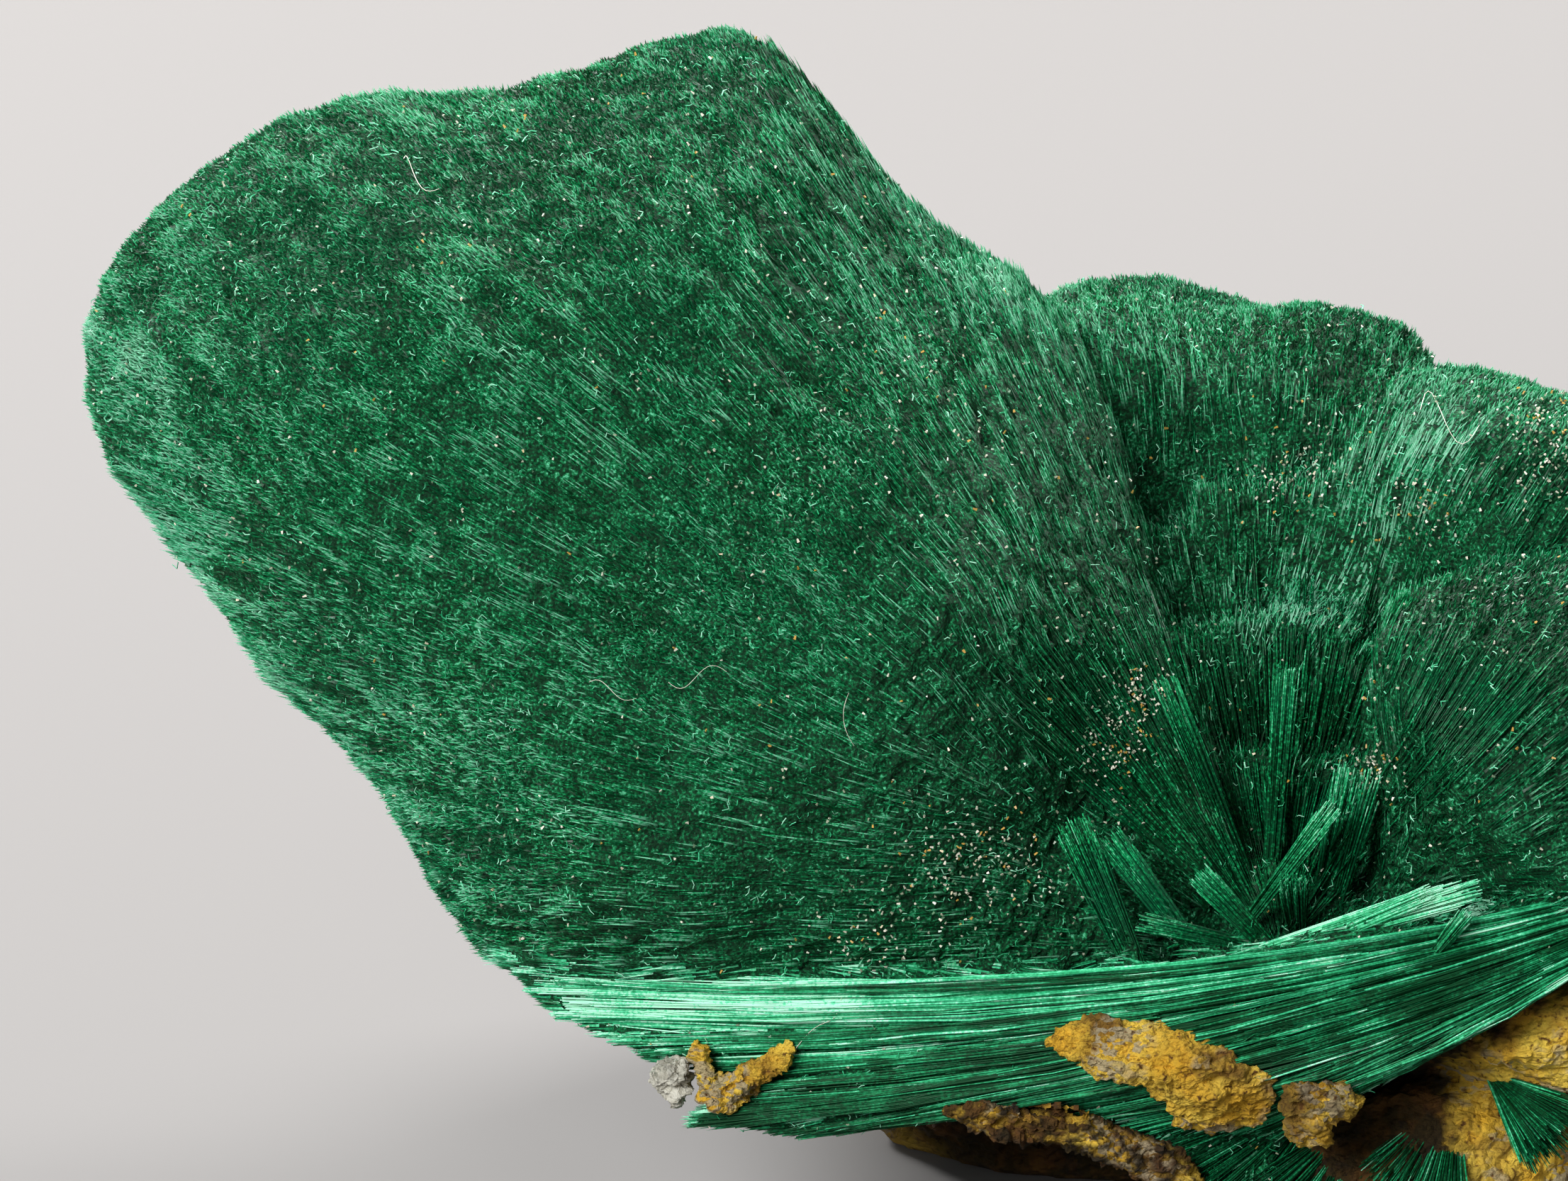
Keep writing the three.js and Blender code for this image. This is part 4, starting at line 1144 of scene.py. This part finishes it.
def buildLaths():
    allPaths, allShades, allSilk = [], [], []
    share = np.linspace(0, 1, laths["steps"])[None, :, None]
    for foot, tip, width, tone in laths["splinters"]:
        foot, tip = np.array(foot), np.array(tip)
        way = unit(tip - foot)
        side = unit(np.cross(way, (0.0, -1.0, 0.0)))
        deep = np.cross(way, side)
        count = int(width * laths["fibresPerWidth"]) + 8
        offset = rng.uniform(-0.5, 0.5, (count, 1, 1)) * side * width
        offset = offset + rng.uniform(-0.5, 0.5, (count, 1, 1)) * deep * width * laths["flat"]
        end = 1 - laths["ragged"] * rng.random((count, 1, 1)) ** 1.5
        path = foot + (tip - foot) * share * end
        splay = rng.normal(0, laths["splay"], (count, 1, 3)) * share
        allPaths.append(path + offset * (0.55 + 0.55 * share) + splay)
        allShades.append(tone + laths["tone"] + rng.normal(0, 0.17, (count, 1))
                         + laths["paleTips"] * share[..., 0] ** 8)
        allSilk.append(np.full(count, min(1.0, tone)))
    paths = np.concatenate(allPaths)
    girth = laths["girth"] * rng.uniform(0.7, 1.6, len(paths))
    addStrands("malachite_laths", paths, girth, np.concatenate(allShades),
               np.concatenate(allSilk))


buildLaths()

# Small fans of fibres: root, tip, half angle, fibres
tuftForm = {"thick": 11, "long": (0.85, 1.02), "girth": 0.021, "silk": 0.7}
tufts = {
    "malachite_fans_below": ("fibrous_malachite", [
        ((0.6, -4.8, -3.2), (-2.3, -6.0, -5.1), 20, 360),
        ((1.4, -4.6, -3.4), (-0.4, -6.2, -6.1), 22, 400),
    ]),
    "malachite_tuft_middle_fibres": ("malachite_tuft_middle", [
        ((3.0, -4.6, -3.2), (2.0, -6.2, -5.3), 24, 380)]),
    "malachite_tuft_front_fibres": ("malachite_tuft_front", [
        ((3.5, -5.4, -2.8), (4.9, -7.0, -4.1), 20, 340)]),
}


def buildTufts():
    share = np.linspace(0, 1, 4)[None, :, None]
    for name, (node, sprays) in tufts.items():
        paths = []
        for root, tip, spread, count in sprays:
            root, tip = np.array(root), np.array(tip)
            axis = tip - root
            long = np.linalg.norm(axis)
            across = unit(np.cross(axis, (0.0, 1.0, 0.0)))
            deep = unit(np.cross(axis, across))
            swing = np.radians(spread) * rng.uniform(-1, 1, (count, 1, 1))
            tilt = np.radians(tuftForm["thick"]) * rng.uniform(-1, 1, (count, 1, 1))
            aim = unit(axis + long * (np.tan(swing) * across + np.tan(tilt) * deep))
            long = long * rng.uniform(*tuftForm["long"], (count, 1, 1))
            paths.append(root + aim * share * long)
        paths = np.concatenate(paths)
        count = len(paths)
        addStrands(name, paths, tuftForm["girth"] * rng.uniform(0.6, 1.5, count),
                   0.9 * rng.random(count) ** 3 - 0.1, np.full(count, tuftForm["silk"]), node)


buildTufts()
print("laths and tufts made")


# Limonite and clay: the CAD lumps with a finer, crumbled skin
crusts = {   # slot, material, voxel, depth of the crumbs, swelling, how far its back sinks, painted shade and stain
    "limonite_matrix": ("limonite", limoniteMaterial, 0.13, 0.13, -0.1, 0.0, 0.97),
    "limonite_scab_front": ("limonite", limoniteMaterial, 0.05, 0.13, 0.05, 0.4, 0.2),
    "limonite_scab_right": ("limonite", limoniteMaterial, 0.05, 0.17, 0.05, 0.4, 0.6),
    "limonite_scab_left": ("limonite", limoniteMaterial, 0.04, 0.14, 0.25, 0.4, 0.1),
    "limonite_scab_lower": ("limonite", limoniteMaterial, 0.05, 0.17, 0.0, 0.4, 0.97),
    "clay_crumb": ("clay", clayMaterial, 0.035, 0.2, 0.3, 0.4, 0.0),
}
crumbs = {   # size in millimetres and share of the coarse lumps, the fine ones and the cells
    "coarse": (0.9, 0.5),
    "fine": (0.22, 0.75),
    "cells": (0.33, 0.8),
    "ground": 0.25,   # what is this near to the ground stays flat
}
# Painted shadow: the edge and band of the matrix's side that is coloured dark, and how softly it fades
paintedShadowSide = {"edge": ((1.43, -3.67), (5.18, -0.52)), "band": 0.6, "left": 3.2, "soft": 0.5}


def crumble(mesh, depth, swell, sink, shadeAndStain):
    points, edges = readPoints(mesh), readEdges(mesh)
    points = relax(points, edges, np.full(len(points), 0.5), 3)
    writePoints(mesh, points)
    normals = readPoints(mesh, "normal")
    ground = toRowHeights(points) < crumbs["ground"]
    (coarseSize, coarseShare), (fineSize, fineShare) = crumbs["coarse"], crumbs["fine"]
    cellSize, cellShare = crumbs["cells"]
    moved = np.empty(len(points))
    for i, (x, y, z) in enumerate(points):
        coarse = noise.fractal(Vector((x, y, z * 1.5)) / coarseSize, 0.9, 2.1, 3)
        fine = noise.fractal(Vector((x, y, z * 1.6)) / fineSize, 0.7, 2.2, 4)
        cells = noise.voronoi(Vector((x, y, z * 1.4)) / cellSize)[0][0]
        moved[i] = coarseShare * coarse + fineShare * fine - cellShare * (0.5 - cells)
    moved[ground] = 0
    # Painted shadow: the side of the matrix towards the sprays, under their overhang, is coloured
    # nearly black
    (fromX, fromZ), (toX, toZ) = paintedShadowSide["edge"]
    way = unit(np.array([toX - fromX, toZ - fromZ]))
    below = (points[:, 0] - fromX) * way[1] - (points[:, 2] - fromZ) * way[0]
    close = np.maximum(paintedShadowSide["band"] - below, paintedShadowSide["left"] - points[:, 0])
    dark = np.clip((close + 0.4 * moved) / paintedShadowSide["soft"], 0, 1)
    dark *= np.clip((6.0 - points[:, 1]) / 3, 0, 1)
    # A scab is darkened by its crumbs' relief instead, by the amount in its row
    if sink:
        dark = np.clip(0.75 + 1.4 * moved, 0, 1)
    storeField(mesh, "shadeAndStain", dark * shadeAndStain)
    moved[~ground] += swell
    points = points + normals * (depth * moved)[:, None]
    points[:, 1] += sink * np.clip(normals[:, 1], 0, 1)
    writePoints(mesh, points)
    return mesh


def toRowHeights(points):
    tilt = viewing["tilt"]
    return points[:, 2] * math.cos(tilt) - points[:, 1] * math.sin(tilt) + viewing["root"][2]


for name, (slotName, material, voxel, *shape) in crusts.items():
    skin = crumble(voxelSkin(copyNode(name), voxel), *shape)
    addPiece(name + "_surface", skin, name, material)
print("limonite and clay made")


# Stage, camera and lights, in metres
stage = {"floor": (0.155, 0.147, 0.142), "size": 3.0}


def buildStage():
    mesh = bpy.data.meshes.new("floor")
    half = stage["size"] / 2
    mesh.from_pydata([(-half, -half, 0), (half, -half, 0), (half, half, 0), (-half, half, 0)], [],
                     [(0, 1, 2, 3)])
    material, tree, shader = newMaterial("floorFinish", {"Roughness": 0.8})
    shader.inputs["Base Color"].default_value = (*stage["floor"], 1.0)
    mesh.materials.append(material)
    floor = bpy.data.objects.new("floor", mesh)
    bpy.context.scene.collection.objects.link(floor)


lights = {
    "sky": (0.86, 0.87, 0.88, 0.2),
    "lamps": {   # place in millimetres of the viewing frame, size, power in watts
        "back": ((-90, 130, 210), 170, 1.5),
        "front": ((-110, -210, 60), 110, 0.75),
        "right": ((130, 60, 170), 120, 0.8),
    },
}


def buildLights():
    world = bpy.data.worlds.new("studio")
    world.use_nodes = True
    background = world.node_tree.nodes["Background"]
    *tint, strength = lights["sky"]
    background.inputs["Color"].default_value = (*tint, 1.0)
    background.inputs["Strength"].default_value = strength
    bpy.context.scene.world = world
    target = viewToRow @ Vector((-6.0, -3.0, 4.0))
    for name, (place, size, power) in lights["lamps"].items():
        data = bpy.data.lights.new(name, "AREA")
        data.size = size * 0.001
        data.energy = power
        lamp = bpy.data.objects.new(name, data)
        lamp.location = viewToRow @ Vector(place)
        lamp.rotation_mode = "QUATERNION"
        lamp.rotation_quaternion = (target - lamp.location).to_track_quat("-Z", "Y")
        bpy.context.scene.collection.objects.link(lamp)


def buildCamera():
    bpy.context.scene.view_settings.view_transform = "Standard"
    data = bpy.data.cameras.new("camera")
    data.sensor_width = 36.0
    data.lens = data.sensor_width * viewing["distance"] / viewing["width"]
    data.clip_start = 0.01
    camera = bpy.data.objects.new("camera", data)
    centre = Vector(viewing["centre"])
    away = Vector((0, -viewing["distance"], 0))
    camera.location = viewToRow @ (centre + away)
    camera.rotation_mode = "QUATERNION"
    camera.rotation_quaternion = (viewToRow @ centre - camera.location).to_track_quat("-Z", "Y")
    bpy.context.scene.collection.objects.link(camera)
    bpy.context.scene.camera = camera


buildStage()
buildLights()
buildCamera()
print("stage, lights and camera made")
